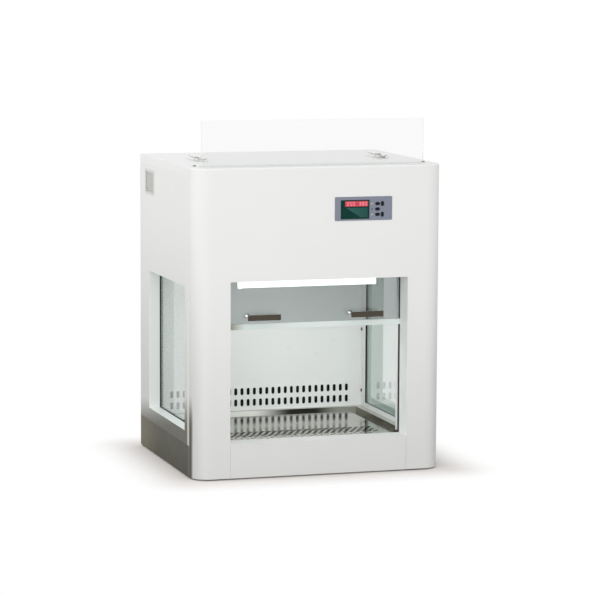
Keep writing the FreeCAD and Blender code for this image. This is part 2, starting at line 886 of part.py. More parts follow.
def make_handle(name, post):
    """A flat bar on two round posts, drawn about the middle of its seat on the pane."""
    handle = body(name)
    bar_back = minus("handle_reach - handle_thick")
    half, rise = "handle_length/2", "handle_bar/2"
    pad(handle, "XZ", bar_back, "handle_thick", rectangle(minus(half), minus(rise), half, rise))
    round_edges(handle, "handle_soft", lambda e: True)
    posts = [circle(minus(post), "0", "handle_post"), circle(post, "0", "handle_post")]
    pad(handle, "XZ", "0", "handle_reach - handle_thick/2", *posts)
    pad(handle, "XZ", "0", "rosette_thick", circle(minus(post), "0", "handle_rosette"),
        circle(post, "0", "handle_rosette"))
    pad(handle, "XZ", "pane + nut_height - rail_sheet", "pane + nut_height - rail_sheet",
        circle(minus(post), "0", "stud_radius"), circle(post, "0", "stud_radius"))
    return handle


def make_nut(x, z):
    """A cap nut on the stud behind the pane."""
    cap = body("nut")
    pad(cap, "XZ", "nut_height", "nut_height", circle("0", "0", "nut_radius"))
    round_edges(cap, "nut_height/2", lambda e: lies_at(e, y="nut_height"))
    pocket(cap, "XZ", "nut_height - rail_sheet", "nut_height - rail_sheet",
           circle("0", "0", "stud_radius"))
    place(cap, x, "pane_back", z)
    return cap


# Chamber floor and ceiling

def make_tray():
    tray = body("tray_well")
    hole = rectangle(minus("well_half"), "well_front", "well_half", "well_back")
    around = rectangle(minus("well_half + tray_sheet"), "well_front - tray_sheet",
                       "well_half + tray_sheet", "well_back + tray_sheet")
    flange_x = "well_half + tray_sheet + tray_flange"
    pad(tray, "XY", "deck_height", "tray_sheet",
        rectangle(minus(flange_x), "seam + 2*tray_sheet", flange_x, "well_back + tray_flange"), hole)
    pad(tray, "XY", "well_floor - tray_sheet", "tray_depth", around, hole)
    pad(tray, "XY", "well_floor - tray_sheet", "tray_sheet", around)
    node("tray_well", tray)

    work = body("work_surface")
    x, y_front, y_back = "work_half", "front + work_front", "back - work_back"
    height = "work_top - well_floor"
    pad(work, "XY", "well_floor", height, rectangle(minus(x), y_front, x, y_back))
    round_edges(work, "work_corner", upright)
    pocket(work, "XY", "well_floor", height + " - sheet",
           rectangle(minus(x + " - sheet"), y_front + " + sheet", x + " - sheet", y_back + " - sheet"))
    start = minus("hole_pitch*(hole_count - 1)/2 + hole_pitch/4")
    rows = [circle(start + " + %d*hole_pitch/2" % (i % 2), "front + hole_first + %d*hole_pitch/2" % i,
                   "hole_radius") for i in range(3)]
    holes = pocket(work, "XY", "work_top - sheet", "sheet", *rows)
    repeat(work, holes, "H_Axis", "hole_pitch", "hole_count")
    pocket(work, "XY", "work_top - sheet", "sheet",
           *[circle(sign + "(work_half - finger_hole_inset)", "front + finger_hole_back", "finger_hole")
             for sign in SIGNS.values()])
    node("work_surface", work)


def make_ceiling():
    ceiling = body("ceiling_diffuser")
    pad(ceiling, "XY", "opening_top", "sheet",
        rectangle(minus("wall_out"), "ceiling_front", "wall_out", "liner_back"))
    step = "(liner_back - ceiling_front)/diffuser_rows"
    slots = []
    for i in range(int(value("diffuser_rows"))):
        middle = "ceiling_front + %s*%s" % (i + 0.5, step)
        slots.append(rectangle(minus("diffuser_pitch*(diffuser_count - 1)/2 + diffuser_slot/2"),
                               middle + " - diffuser_length/2",
                               minus("diffuser_pitch*(diffuser_count - 1)/2 - diffuser_slot/2"),
                               middle + " + diffuser_length/2"))
    first = pocket(ceiling, "XY", "opening_top", "sheet", *slots)
    repeat(ceiling, first, "H_Axis", "diffuser_pitch", "diffuser_count")
    node("ceiling_diffuser", ceiling)


def make_lamp():
    y, z = "tube_place", "tube_height"
    end = "tube_length/2"
    glass = rod("tube_glass", "x", minus(end + " - tube_cap/2"), y, z, "tube_radius - sheet/4",
                "tube_length - tube_cap")
    pieces = [glass]
    for sign, start in (("-", minus(end)), ("", end + " - tube_cap")):
        pieces.append(rod("tube_cap_piece", "x", start, y, z, "tube_radius", "tube_cap"))
        pin_start = minus(end + " + pin_length") if sign else end + " - tube_cap/2"
        for spread in ("-", "+"):
            pieces.append(rod("tube_pin", "x", pin_start, y, "%s %s pin_spread" % (z, spread),
                              "pin_radius", "pin_length + tube_cap/2"))
    node("lamp_tube", fuse("tube", pieces))

    fitting = body("lamp_fitting")
    half = end + " + holder_thick + fit_gap"
    low = "opening_top - batten_depth"
    pad(fitting, "YZ", minus(half), "2*(%s)" % half,
        polygon((y + " - batten_half", low), (y + " + batten_half", low),
                (y + " + batten_half", "opening_top"), (y + " - batten_half", "opening_top")))
    for hand in HANDS:
        start = band(hand, end + " + fit_gap", half)[0]
        pad(fitting, "YZ", start, "holder_thick",
            rectangle(y + " - holder_half", z + " - holder_half", y + " + holder_half", low))
        pocket(fitting, "YZ", start, "holder_thick",
               *[circle(y, "%s %s pin_spread" % (z, spread), "pin_radius + screw_clearance")
                 for spread in ("-", "+")])
    round_edges(fitting, "holder_half/2",
                lambda e: e.BoundBox.XLength > SAME and lies_at(e, z=z + " - holder_half"))
    node("lamp_fitting", fitting)


# Air head

def make_filter():
    housing = body("filter_housing")
    outer = rectangle(minus("wall_out"), "ceiling_front", "wall_out", "liner_back")
    inside = rectangle(minus("wall"), "ceiling_front + sheet", "wall", "liner_face")
    ledge_x = "wall - filter_ledge"
    pad(housing, "XY", "ceiling_top", "head_height", outer, inside)
    pad(housing, "XY", "ledge_top - sheet", "sheet", outer,
        rectangle(minus(ledge_x), "ceiling_front + sheet + filter_ledge", ledge_x,
                  "liner_face - filter_ledge"))
    node("filter_housing", housing)

    frame = body("filter_frame")
    x = "wall - fit_gap"
    y_front, y_back = "ceiling_front + sheet + fit_gap", "liner_face - fit_gap"
    pad(frame, "XY", "ledge_top", "filter_height", rectangle(minus(x), y_front, x, y_back),
        rectangle(minus(x + " - filter_wall"), y_front + " + filter_wall", x + " - filter_wall",
                  y_back + " - filter_wall"))
    node("filter_frame", frame)
    node("filter_media", make_pleats(x + " - filter_wall", y_front + " + filter_wall",
                                     y_back + " - filter_wall"))


def make_pleats(half_text, front_text, back_text):
    """One pleated sheet: a zigzag with a flat at each turn, drawn in XZ and drawn out along Y."""
    half, y_front, y_back = value(half_text), value(front_text), value(back_text)
    low, high = value("ledge_top + media_gap"), value("ledge_top + filter_height - media_gap")
    count, thick = int(value("pleat_count")), value("pleat_sheet")
    step = 2 * half / count
    flat = thick
    upper = [Vector(-half, y_front, low + thick)]
    lower = [Vector(-half, y_front, low)]
    for i in range(count):
        left = -half + i * step
        rise = [(flat, 0), (step / 2 - flat, high - low - thick), (step / 2 + flat, high - low - thick),
                (step - flat, 0)]
        for along, lift in rise:
            shift = thick if lift else 0
            upper.append(Vector(left + along + (-shift if along < step / 2 else shift) * 0.5, y_front,
                                low + lift + thick))
            lower.append(Vector(left + along + (shift if along < step / 2 else -shift) * 0.5, y_front,
                                low + lift))
    upper.append(Vector(half, y_front, low + thick))
    lower.append(Vector(half, y_front, low))
    corners = upper + lower[::-1]
    face = Part.Face(Part.makePolygon(corners + corners[:1]))
    media = doc.addObject("Part::Feature", "pleats")
    media.Shape = face.extrude(Vector(0, y_back - y_front, 0))
    return media


def make_fan():
    deck = body("blower_deck")
    pad(deck, "XY", "head_top", "sheet",
        rectangle(minus("wall_out"), "ceiling_front", "wall_out", "liner_back"),
        circle("0", "head_middle", "inlet_flange - fold"))
    node("blower_deck", deck)

    ring = body("inlet_ring")
    level, drop = "sheet", "inlet_drop"
    sketch = sketch_on(ring, "XZ", "0", [polygon(
        ("inlet_flange", level), ("inlet_flange", level + " + sheet"),
        ("inlet_radius + sheet + inlet_flare", level + " + sheet"),
        ("inlet_radius", level + " - inlet_flare/2"), ("inlet_radius", minus(drop)),
        ("inlet_radius + sheet", minus(drop)),
        ("inlet_radius + sheet", level + " - inlet_flare/2 - sheet/3"),
        ("inlet_radius + sheet + inlet_flare + sheet/3", level))])
    turned = ring.newObject("PartDesign::Revolution", "inlet_ring_turned")
    turned.Profile = sketch
    turned.ReferenceAxis = (sketch, ["V_Axis"])
    turned.Angle = 360
    place(ring, "0", "head_middle", "head_top")
    node("inlet_ring", ring)

    node("impeller", make_impeller())

    motor = body("fan_motor")
    pad(motor, "XY", "0", "motor_height", circle("0", "0", "motor_radius"))
    round_edges(motor, "sheet", lambda e: lies_at(e, z="motor_height"))
    pad(motor, "XY", "motor_height", "impeller_gap + hub_height + fit_gap", circle("0", "0", "shaft_radius"))
    place(motor, "0", "head_middle", "motor_base")
    node("fan_motor", motor)

    bracket = body("motor_bracket")
    lip = "bracket_base + bracket_lip"
    pad(bracket, "XZ", "head_middle + bracket_width/2", "bracket_width",
        polygon((minus("wall"), "bracket_base"), ("wall", "bracket_base"), ("wall", lip),
                ("wall - sheet", lip), ("wall - sheet", "motor_base"), (minus("wall - sheet"), "motor_base"),
                (minus("wall - sheet"), lip), (minus("wall"), lip)))
    node("motor_bracket", bracket)


def make_impeller():
    """Back plate, bored hub, curved blades and the ring that joins their upper edges."""
    wheel = body("impeller")
    bore = circle("0", "0", "shaft_radius + shaft_clearance")
    pad(wheel, "XY", "0", "disc_sheet", circle("0", "0", "impeller_radius"), bore)
    pad(wheel, "XY", "disc_sheet", "hub_height - disc_sheet", circle("0", "0", "hub_radius"), bore)
    rim = "(impeller_radius - disc_sheet)"
    # The tip lies on the rim, along the long side of a 3-4-5 triangle
    tip_x, tip_y = rim + "*4/5", rim + "*3/5"

    def blade_outline(sketch):
        """Two equal arcs, one blade thickness apart, from the root to the rim."""
        root = Vector(value("blade_root"), 0, 0)
        tip = Vector(value(tip_x), value(tip_y), 0)
        shift = Vector(0, value("blade_thick"), 0)
        radius = value("blade_curve")
        middle, chord = (root + tip) * 0.5, tip - root
        bulge = radius - (radius ** 2 - (chord.Length / 2) ** 2) ** 0.5
        outward = Vector(chord.y, -chord.x, 0).normalize() * bulge
        low = sketch.addGeometry(Part.Arc(root, middle + outward, tip), False)
        high = sketch.addGeometry(Part.Arc(root + shift, middle + outward + shift, tip + shift), False)
        inner = sketch.addGeometry(Part.LineSegment(root, root + shift), False)
        outer = sketch.addGeometry(Part.LineSegment(tip, tip + shift), False)
        for a, a_end, b, b_end in ((low, 1, inner, 1), (inner, 2, high, 1), (high, 2, outer, 2),
                                   (outer, 1, low, 2)):
            sketch.addConstraint(Sketcher.Constraint("Coincident", a, a_end, b, b_end))
        pin_point(sketch, inner, 1, "blade_root", "0")
        pin_point(sketch, inner, 2, "blade_root", "blade_thick")
        pin_point(sketch, outer, 1, tip_x, tip_y)
        pin_point(sketch, outer, 2, tip_x, tip_y + " + blade_thick")
        bind(sketch, Sketcher.Constraint("Radius", low, radius), "blade_curve")
        bind(sketch, Sketcher.Constraint("Radius", high, radius), "blade_curve")

    blade = pad(wheel, "XY", "disc_sheet", "impeller_height - 2*disc_sheet", blade_outline)
    around = wheel.newObject("PartDesign::PolarPattern", "impeller_blades")
    around.Originals = [blade]
    around.Axis = ([f for f in wheel.Origin.OriginFeatures if f.Role == "Z_Axis"][0], [""])
    around.Angle = 360
    around.setExpression("Occurrences", link("blade_count"))
    wheel.Tip = around
    pad(wheel, "XY", "impeller_height - disc_sheet", "disc_sheet", circle("0", "0", "impeller_radius"),
        circle("0", "0", "impeller_radius - shroud_width"))
    place(wheel, "0", "head_middle", "impeller_base")
    return wheel


# Control panel

def panel_cutout(shrink):
    inset = "(panel_lap + (%s))" % shrink
    return rectangle("panel_left + " + inset, "panel_bottom + " + inset,
                     "panel_left + panel_width - " + inset, "panel_bottom + panel_height - " + inset)


def key_place(column, row):
    x = "panel_left + key_column + %d*key_step_across" % column
    return x, "panel_bottom + key_row + %d*key_step_up" % row


def key_outline(column, x, z, grow):
    """Keys of the first column lie level, those of the second stand upright."""
    return obround(x, z, "key_radius + " + grow, "key_straight", level=column == 0)


KEYS = {"power_key": (0, 2), "lamp_key": (1, 2), "fan_key": (0, 1), "plus_key": (0, 0),
        "minus_key": (1, 0)}


def make_panel():
    display = rectangle("panel_left + display_inset", "panel_bottom + display_sill",
                        "panel_left + display_inset + display_width",
                        "panel_bottom + display_sill + display_height")
    lights = [("panel_left + lamp_column", key_place(0, row)[1]) for row in range(3)]
    holes = [display]
    holes += [key_outline(spot[0], *key_place(*spot), "key_clearance") for spot in KEYS.values()]
    holes += [circle(x, z, "indicator_radius") for x, z in lights]
    bezel = body("control_bezel")
    pad(bezel, "XZ", "front", "panel_proud",
        rectangle("panel_left", "panel_bottom", "panel_left + panel_width",
                  "panel_bottom + panel_height"), *holes)
    round_edges(bezel, "panel_corner", upright_in_panel)
    pad(bezel, "XZ", "panel_inner", "sheet", panel_cutout("fit_gap"), *holes)
    node("control_bezel", bezel)

    window = body("display_window")
    pad(window, "XZ", "front - panel_proud + display_set + display_glass", "display_glass", display)
    node("display_window", window)

    readout = body("led_readout")
    x, z = "panel_left + display_inset + readout_inset", "panel_bottom + display_sill + readout_sill"
    pad(readout, "XZ", "front - panel_proud + display_set + display_glass + readout_thick",
        "readout_thick", rectangle(x, z, x + " + readout_width", z + " + readout_height"))
    node("led_readout", readout)

    lamps = [rod("indicator", "y", x, "front - panel_proud", z, "indicator_radius", "panel_proud + sheet")
             for x, z in lights]
    node("indicator_lamps", group("indicators", lamps))

    for name, spot in KEYS.items():
        key = body(name)
        shank = "key_proud + panel_proud + sheet + fit_gap"
        pad(key, "XZ", shank, shank, key_outline(spot[0], "0", "0", "0"))
        round_edges(key, "key_proud/2", lambda e: lies_at(e, y="0"))
        pad(key, "XZ", shank + " + key_collar_thick", "key_collar_thick",
            key_outline(spot[0], "0", "0", "key_collar"))
        x, z = key_place(*spot)
        place(key, x, "front - panel_proud - key_proud", z)
        node(name, key)

    box = body("control_box")
    grow = "box_wall"
    wide = [("panel_left", "-"), ("panel_bottom", "-"), ("panel_left + panel_width", "+"),
            ("panel_bottom + panel_height", "+")]
    outside = rectangle(*["%s %s %s" % (edge, sign, grow) for edge, sign in wide])
    inside = rectangle(*[edge for edge, sign in wide])
    pad(box, "XZ", "panel_inner + box_depth", "box_depth", outside, inside)
    pad(box, "XZ", "panel_inner + box_depth", "box_wall", outside)
    pad(box, "XZ", "board_face + board_thick", "board_thick", outside)
    node("control_box", box)


def upright_in_panel(edge):
    """The four short edges at the corners of the bezel."""
    corner_x = lies_at(edge, x="panel_left") or lies_at(edge, x="panel_left + panel_width")
    corner_z = lies_at(edge, z="panel_bottom") or lies_at(edge, z="panel_bottom + panel_height")
    return corner_x and corner_z


# Details on the shell

def make_grilles():
    grilles = []
    for hand in HANDS:
        grille = body(hand + "_grille")
        y, z = "grille_front", "grille_bottom"
        pad(grille, "YZ", band(hand, "side", "side + trim_proud")[0], "trim_proud",
            rectangle(y, z, y + " + grille_length", z + " + grille_height"))
        row = z + " + grille_height/2 - grille_pitch*(grille_count - 1)/2"
        inset = "grille_border + sheet"
        slot = pocket(grille, "YZ", band(hand, "side", "side + trim_proud")[0], "trim_proud",
                      rectangle("%s + %s" % (y, inset), row + " - grille_slot/2",
                                "%s + grille_length - (%s)" % (y, inset), row + " + grille_slot/2"))
        repeat(grille, slot, "V_Axis", "grille_pitch", "grille_count")
        grilles.append(grille)
    node("vent_grilles", group("grilles", grilles))


def inlet_outline(grow):
    reach = "(inlet_width/2 + (%s))" % grow
    rise = "(inlet_height/2 + (%s))" % grow
    return rectangle("inlet_x - " + reach, "inlet_z - " + rise, "inlet_x + " + reach,
                     "inlet_z + " + rise)


def make_power_inlet():
    inlet = body("power_inlet")
    pad(inlet, "XZ", "back + inlet_proud", "inlet_proud", inlet_outline("inlet_rim/2"))
    pad(inlet, "XZ", "back", "inlet_body", inlet_outline("0 - fit_gap"))
    pocket(inlet, "XZ", "back + inlet_proud", "inlet_socket", inlet_outline("0 - inlet_wall"))
    blades = []
    for x, z in (("- inlet_width/4", "- contact_drop"), ("+ inlet_width/4", "- contact_drop"),
                 ("+ 0", "+ inlet_height/5")):
        middle_x, middle_z = "inlet_x " + x, "inlet_z " + z
        blades.append(rectangle(middle_x + " - sheet/2", middle_z + " - sheet", middle_x + " + sheet/2",
                                middle_z + " + sheet"))
    pad(inlet, "XZ", "back", "inlet_socket - inlet_proud + sheet", *blades)
    node("power_inlet", inlet)


def screw(x, y, z, axis_turn):
    """Round-head screw whose head stands on the local origin and whose shank points along +Y."""
    made = body("screw")
    pad(made, "XZ", "0", "screw_head_height", circle("0", "0", "screw_head"))
    round_edges(made, "screw_head_height/2", lambda e: lies_at(e, y=minus("screw_head_height")))
    pad(made, "XZ", "screw_length", "screw_length", circle("0", "0", "screw_radius"))
    made.Placement = Placement(Vector(0, 0, 0), axis_turn)
    place(made, x, y, z)
    return made


def make_screws():
    cover = []
    for sign in SIGNS.values():
        for z in rear_screw_heights():
            cover.append(screw(sign + "(side - rear_screw_inset)", "back", z,
                               Rotation(Vector(0, 0, 1), 180)))
        cover.append(screw(sign + "top_screw_place", "front + top_screw_back", "body_height",
                           Rotation(Vector(1, 0, 0), -90)))
    node("cover_screws", group("cover_fasteners", cover))

    liner = []
    for hand, turn in (("left", 90), ("right", -90)):
        for z in liner_screw_heights():
            liner.append(screw(SIGNS[hand] + "wall", "liner_face - liner_screw_inset", z,
                               Rotation(Vector(0, 0, 1), turn)))
    node("liner_screws", group("liner_fasteners", liner))


# Top latches: plate, ears and pin on the lid, a lever, a wire bail and a catch on the front cover

def make_latch_base(x):
    plate_front = "pivot_y - latch_plate_front"
    top = "body_height"
    pieces = [block("latch_plate_piece", ("%s - latch_half" % x, "%s + latch_half" % x),
                    (plate_front, plate_front + " + latch_plate_length"), (top, top + " + latch_plate"))]
    for sign in ("-", "+"):
        low, high = ("ear_near", "ear_near + ear_sheet")
        if sign == "-":
            low, high = high, low
        span = ("%s %s (%s)" % (x, sign, low), "%s %s (%s)" % (x, sign, high))
        pieces.append(block("ear_stem", span, ("pivot_y - ear_radius", "pivot_y + ear_radius"),
                            (top, "pivot_z")))
        pieces.append(rod("ear_head", "x", span[0], "pivot_y", "pivot_z", "ear_radius", "ear_sheet"))
    reach = "ear_near + ear_sheet"
    pieces.append(rod("ear_pin", "x", "%s - (%s)" % (x, reach), "pivot_y", "pivot_z", "pivot_pin",
                      "2*(%s)" % reach))
    return fuse("latch_base_piece", pieces)


def make_catch(x):
    top = "body_height"
    tab_front = "pivot_y + pivot_offset - bail_length + bail_radius + fit_gap"
    plate = block("catch_plate", ("%s - latch_half" % x, "%s + latch_half" % x),
                  (tab_front + " - catch_length/2", tab_front + " + catch_length/2"),
                  (top, top + " + latch_plate"))
    tab = block("catch_tab", ("%s - lever_half" % x, "%s + lever_half" % x),
                (tab_front, tab_front + " + latch_plate"), (top, top + " + catch_height"))
    return fuse("catch_piece", [plate, tab])


def make_lever(hand):
    """A folded channel that turns on the ears' pin and carries the bail behind it."""
    lever = body(hand + "_latch_lever")
    wall_in = "lever_half - lever_sheet"
    nose, tail = minus("lever_nose"), "lever_length"
    top, under = "lever_rise", "lever_rise - lever_sheet"
    low = minus("lever_nose")
    for start in (minus("lever_half"), wall_in):
        pad(lever, "YZ", start, "lever_sheet",
            polygon((nose, low), ("pivot_offset + lever_nose", low), (tail, under), (tail, top),
                    (nose, top)))
    pad(lever, "XY", under, "lever_sheet",
        rectangle(minus("lever_half"), nose, "lever_half", tail))
    pocket(lever, "YZ", minus("lever_half"), "2*lever_half",
           circle("0", "0", "pivot_pin + pin_clearance"),
           circle("pivot_offset", "0", "bail_radius + pin_clearance"))
    place(lever, SIGNS[hand] + "latch_place", "pivot_y", "pivot_z")
    node(lever.Label, lever)


def make_bail(hand):
    """Bent wire: two legs, the cross bar at the front and two short ends turned into the lever."""
    x, z = SIGNS[hand] + "latch_place", "pivot_z"
    pivot, bar = "pivot_y + pivot_offset", "pivot_y + pivot_offset - bail_length"
    inner = "lever_half - lever_sheet"
    pieces = [rod("bail_bar", "x", x + " - (bail_half)", bar, z, "bail_radius", "2*(bail_half)")]
    for sign in ("-", "+"):
        leg_x = "%s %s (bail_half)" % (x, sign)
        pieces.append(rod("bail_leg", "y", leg_x, bar, z, "bail_radius", "bail_length"))
        start = leg_x if sign == "-" else "%s + %s" % (x, inner)
        pieces.append(rod("bail_end", "x", start, pivot, z, "bail_radius", "bail_half - (%s)" % inner))
        for y in (bar, pivot):
            ball = doc.addObject("Part::Sphere", "bail_bend")
            ball.setExpression("Radius", link("bail_radius"))
            place(ball, leg_x, y, z)
            pieces.append(ball)
    node(hand + "_latch_bail", fuse(hand + "_bail_wire", pieces))


def make_latches():
    xs = [sign + "latch_place" for sign in SIGNS.values()]
    node("latch_bases", group("bases", [make_latch_base(x) for x in xs]))
    node("latch_catches", group("catches", [make_catch(x) for x in xs]))
    for hand in HANDS:
        make_lever(hand)
        make_bail(hand)


make_base()
make_front_frame()
make_front_sill()
edgings = []
for hand in HANDS:
    make_side(hand)
    edgings.append(make_side_window(hand))
    make_guide(hand)
node("window_edgings", group("edgings", edgings))
make_back()
make_top()
make_sash()
make_tray()
make_ceiling()
make_lamp()
make_filter()
make_fan()
make_panel()
make_grilles()
make_power_inlet()
make_screws()
make_latches()
doc.recompute()

for thing in doc.Objects:
    if "Invalid" in thing.State or "Error" in thing.State:
        raise RuntimeError("%s (%s) failed: %s" % (thing.Name, thing.Label, thing.State))
for thing in nodes:
    if thing.Shape.isNull() or not thing.Shape.isValid() or not thing.Shape.Solids:
        raise RuntimeError(thing.Label + " has no valid solid")

os.makedirs("parts", exist_ok=True)
for thing in nodes:
    thing.Shape.exportStep("parts/%s.step" % thing.Label)
print("%d nodes, %d solids" % (len(nodes), sum(len(thing.Shape.Solids) for thing in nodes)))
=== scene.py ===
import json
import math

import bmesh
import bpy
from mathutils import Euler, Matrix, Vector

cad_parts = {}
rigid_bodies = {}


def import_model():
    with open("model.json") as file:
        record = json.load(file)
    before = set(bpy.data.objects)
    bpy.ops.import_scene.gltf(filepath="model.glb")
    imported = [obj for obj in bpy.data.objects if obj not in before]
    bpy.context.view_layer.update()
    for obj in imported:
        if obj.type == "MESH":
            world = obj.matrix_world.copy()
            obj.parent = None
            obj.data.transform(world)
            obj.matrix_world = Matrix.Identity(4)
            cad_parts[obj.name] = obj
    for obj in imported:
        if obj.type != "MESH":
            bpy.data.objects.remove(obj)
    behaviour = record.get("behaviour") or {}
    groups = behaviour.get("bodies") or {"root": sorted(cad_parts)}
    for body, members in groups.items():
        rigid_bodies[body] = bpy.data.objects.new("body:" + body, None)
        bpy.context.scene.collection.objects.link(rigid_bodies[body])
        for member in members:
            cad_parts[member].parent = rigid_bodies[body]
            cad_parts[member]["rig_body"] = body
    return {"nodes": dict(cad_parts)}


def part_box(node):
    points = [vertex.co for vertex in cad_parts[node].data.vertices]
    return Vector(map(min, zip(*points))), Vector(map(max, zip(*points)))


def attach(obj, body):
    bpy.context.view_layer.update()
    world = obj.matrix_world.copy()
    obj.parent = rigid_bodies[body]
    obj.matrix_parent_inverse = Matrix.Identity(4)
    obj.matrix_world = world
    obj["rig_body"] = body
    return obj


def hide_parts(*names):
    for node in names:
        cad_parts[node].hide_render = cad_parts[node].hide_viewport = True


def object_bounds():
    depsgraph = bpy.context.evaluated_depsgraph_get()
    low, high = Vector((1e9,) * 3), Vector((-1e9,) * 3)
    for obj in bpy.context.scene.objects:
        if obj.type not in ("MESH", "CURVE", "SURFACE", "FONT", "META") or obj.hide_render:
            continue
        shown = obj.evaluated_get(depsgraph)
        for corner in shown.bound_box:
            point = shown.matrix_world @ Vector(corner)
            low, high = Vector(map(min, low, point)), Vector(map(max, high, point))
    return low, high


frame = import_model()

NODES = frame["nodes"]
CAD_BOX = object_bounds()
MM = 0.001
SASH_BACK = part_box("sash_pane")[1].y
PANE_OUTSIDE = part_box("right_side_glass")[1].x
HANDS = ("left", "right")
KEYS = ("power_key", "lamp_key", "fan_key", "plus_key", "minus_key")

# Camera, as the photograph was taken
CAMERA_PLACE = (-1.72933, -5.59863, 1.08288)
CAMERA_TURN = (82.8354, -0.2786, -17.3228)
CAMERA_LENS = 166.742
CAMERA_SENSOR = 36.0

# Heights on the sides between which the painted shade from the base fades out; it climbs towards the front
PAINTED_FOOT_SHADE_LOW = 0.075
PAINTED_FOOT_SHADE_HIGH = 0.180
PAINTED_FOOT_SHADE_CLIMB = 0.16
# Only the outer skins beyond this distance from the middle take the painted shade of the sides
OUTER_SKIN = 0.22
# A slighter painted shade, darker towards the floor: between two heights it goes from a first to a last share
SIDE_PAINTED_SHADE = (0.05, 0.60, 0.31, 0.01)
FRONT_PAINTED_SHADE = (-0.02, 0.45, 0.155, 0.02)
# The most that the painted shade covers
FULLEST_PAINTED_SHADE = 0.96

# The returns along the front opening lie within this distance of the middle
OPENING_REACH = 0.2
# Heights between which the sash, darker low down, clears towards its top
SASH_CLEARING_HEIGHTS = (0.46, 0.62)
# Folds sharper than this stay crisp
SHARP_FOLD = math.radians(32.0)

# The table top as it lights the object, and as the eye and the mirrors see it; the seen colour, darker and browner
# than white, paints a shadow round the cabinet
TABLE_LIT = (0.34, 0.33, 0.31, 1)
TABLE_SEEN = (0.76, 0.725, 0.70, 1)
# Distances from the cabinet's footprint between which the rendered shade and the painted shadow on the table fade
# into white
TABLE_FADE = (-0.02, 0.13)


def add_node(tree, kind, **values):
    """A shader node with some of its named inputs set."""
    node = tree.nodes.new(kind)
    for label, value in values.items():
        node.inputs[label.replace("_", " ")].default_value = value
    return node


def math_node(tree, operation, *values):
    """A Math node whose inputs are numbers or the outputs of other nodes."""
    node = tree.nodes.new("ShaderNodeMath")
    node.operation = operation
    for socket, value in zip(node.inputs, values):
        if isinstance(value, (int, float)):
            socket.default_value = value
        else:
            tree.links.new(value, socket)
    return node.outputs["Value"]


def mix_colours(tree, share, first, second, blend="MIX"):
    """A colour mix; each of its three inputs is a value or another node's output."""
    node = tree.nodes.new("ShaderNodeMix")
    node.data_type = "RGBA"
    node.blend_type = blend
    for socket, value in zip((node.inputs[0], node.inputs[6], node.inputs[7]), (share, first, second)):
        if isinstance(value, bpy.types.NodeSocket):
            tree.links.new(value, socket)
        else:
            socket.default_value = value
    return node.outputs[2]


def ramp(tree, value, low, high, start=0.0, end=1.0):
    """Maps low..high onto start..end with soft ends."""
    node = tree.nodes.new("ShaderNodeMapRange")
    node.interpolation_type = "SMOOTHSTEP"
    tree.links.new(value, node.inputs["Value"])
    for label, number in (("From Min", low), ("From Max", high), ("To Min", start), ("To Max", end)):
        if isinstance(number, bpy.types.NodeSocket):
            tree.links.new(number, node.inputs[label])
        else:
            node.inputs[label].default_value = number
    return node.outputs["Result"]


def object_place(tree):
    """The place of the point on the object, in metres."""
    return tree.nodes.new("ShaderNodeTexCoord").outputs["Object"]


def axes_of(tree, vector):
    """The X, Y and Z outputs of a vector."""
    node = tree.nodes.new("ShaderNodeSeparateXYZ")
    tree.links.new(vector, node.inputs["Vector"])
    return node.outputs


def noise(tree, vector, scale, detail=2.0, roughness=0.5):
    """Noise on object coordinates; scale counts its features per metre."""
    node = add_node(tree, "ShaderNodeTexNoise", Detail=detail, Roughness=roughness)
    tree.links.new(vector, node.inputs["Vector"])
    if isinstance(scale, bpy.types.NodeSocket):
        tree.links.new(scale, node.inputs["Scale"])
    else:
        node.inputs["Scale"].default_value = scale
    return node.outputs["Fac"]


def effect_group(name, inputs, outputs):
    """An empty node group with named inputs and outputs, and its two end nodes."""
    group = bpy.data.node_groups.new(name, "ShaderNodeTree")
    kinds = {"colour": "NodeSocketColor", "number": "NodeSocketFloat", "direction": "NodeSocketVector"}
    for label, kind, value in inputs:
        socket = group.interface.new_socket(name=label, in_out="INPUT", socket_type=kinds[kind])
        socket.default_value = value
    for label, kind in outputs:
        group.interface.new_socket(name=label, in_out="OUTPUT", socket_type=kinds[kind])
    return group, group.nodes.new("NodeGroupInput").outputs, group.nodes.new("NodeGroupOutput").inputs


def make_coat_grain():
    """Sprayed coat: fine orange peel, a slow drift in tone and a little in gloss."""
    group, given, result = effect_group(
        "coat_grain",
        [("Color", "colour", (1, 1, 1, 1)), ("Roughness", "number", 0.4), ("Grain", "number", 700.0),
         ("Drift", "number", 0.03)],
        [("Color", "colour"), ("Roughness", "number"), ("Height", "number")])
    place = object_place(group)
    slow = noise(group, place, 7.0, 4.0, 0.6)
    tone = math_node(group, "SUBTRACT", 1.0, math_node(group, "MULTIPLY", slow, given["Drift"]))
    shade = group.nodes.new("ShaderNodeCombineColor")
    for channel in shade.inputs[:3]:
        group.links.new(tone, channel)
    group.links.new(mix_colours(group, 1.0, given["Color"], shade.outputs["Color"], "MULTIPLY"), result["Color"])
    fine = noise(group, place, given["Grain"], 3.0, 0.55)
    group.links.new(fine, result["Height"])
    gloss = math_node(group, "MULTIPLY", math_node(group, "SUBTRACT", noise(group, place, 60.0), 0.5), 0.12)
    group.links.new(math_node(group, "ADD", given["Roughness"], gloss), result["Roughness"])
    return group


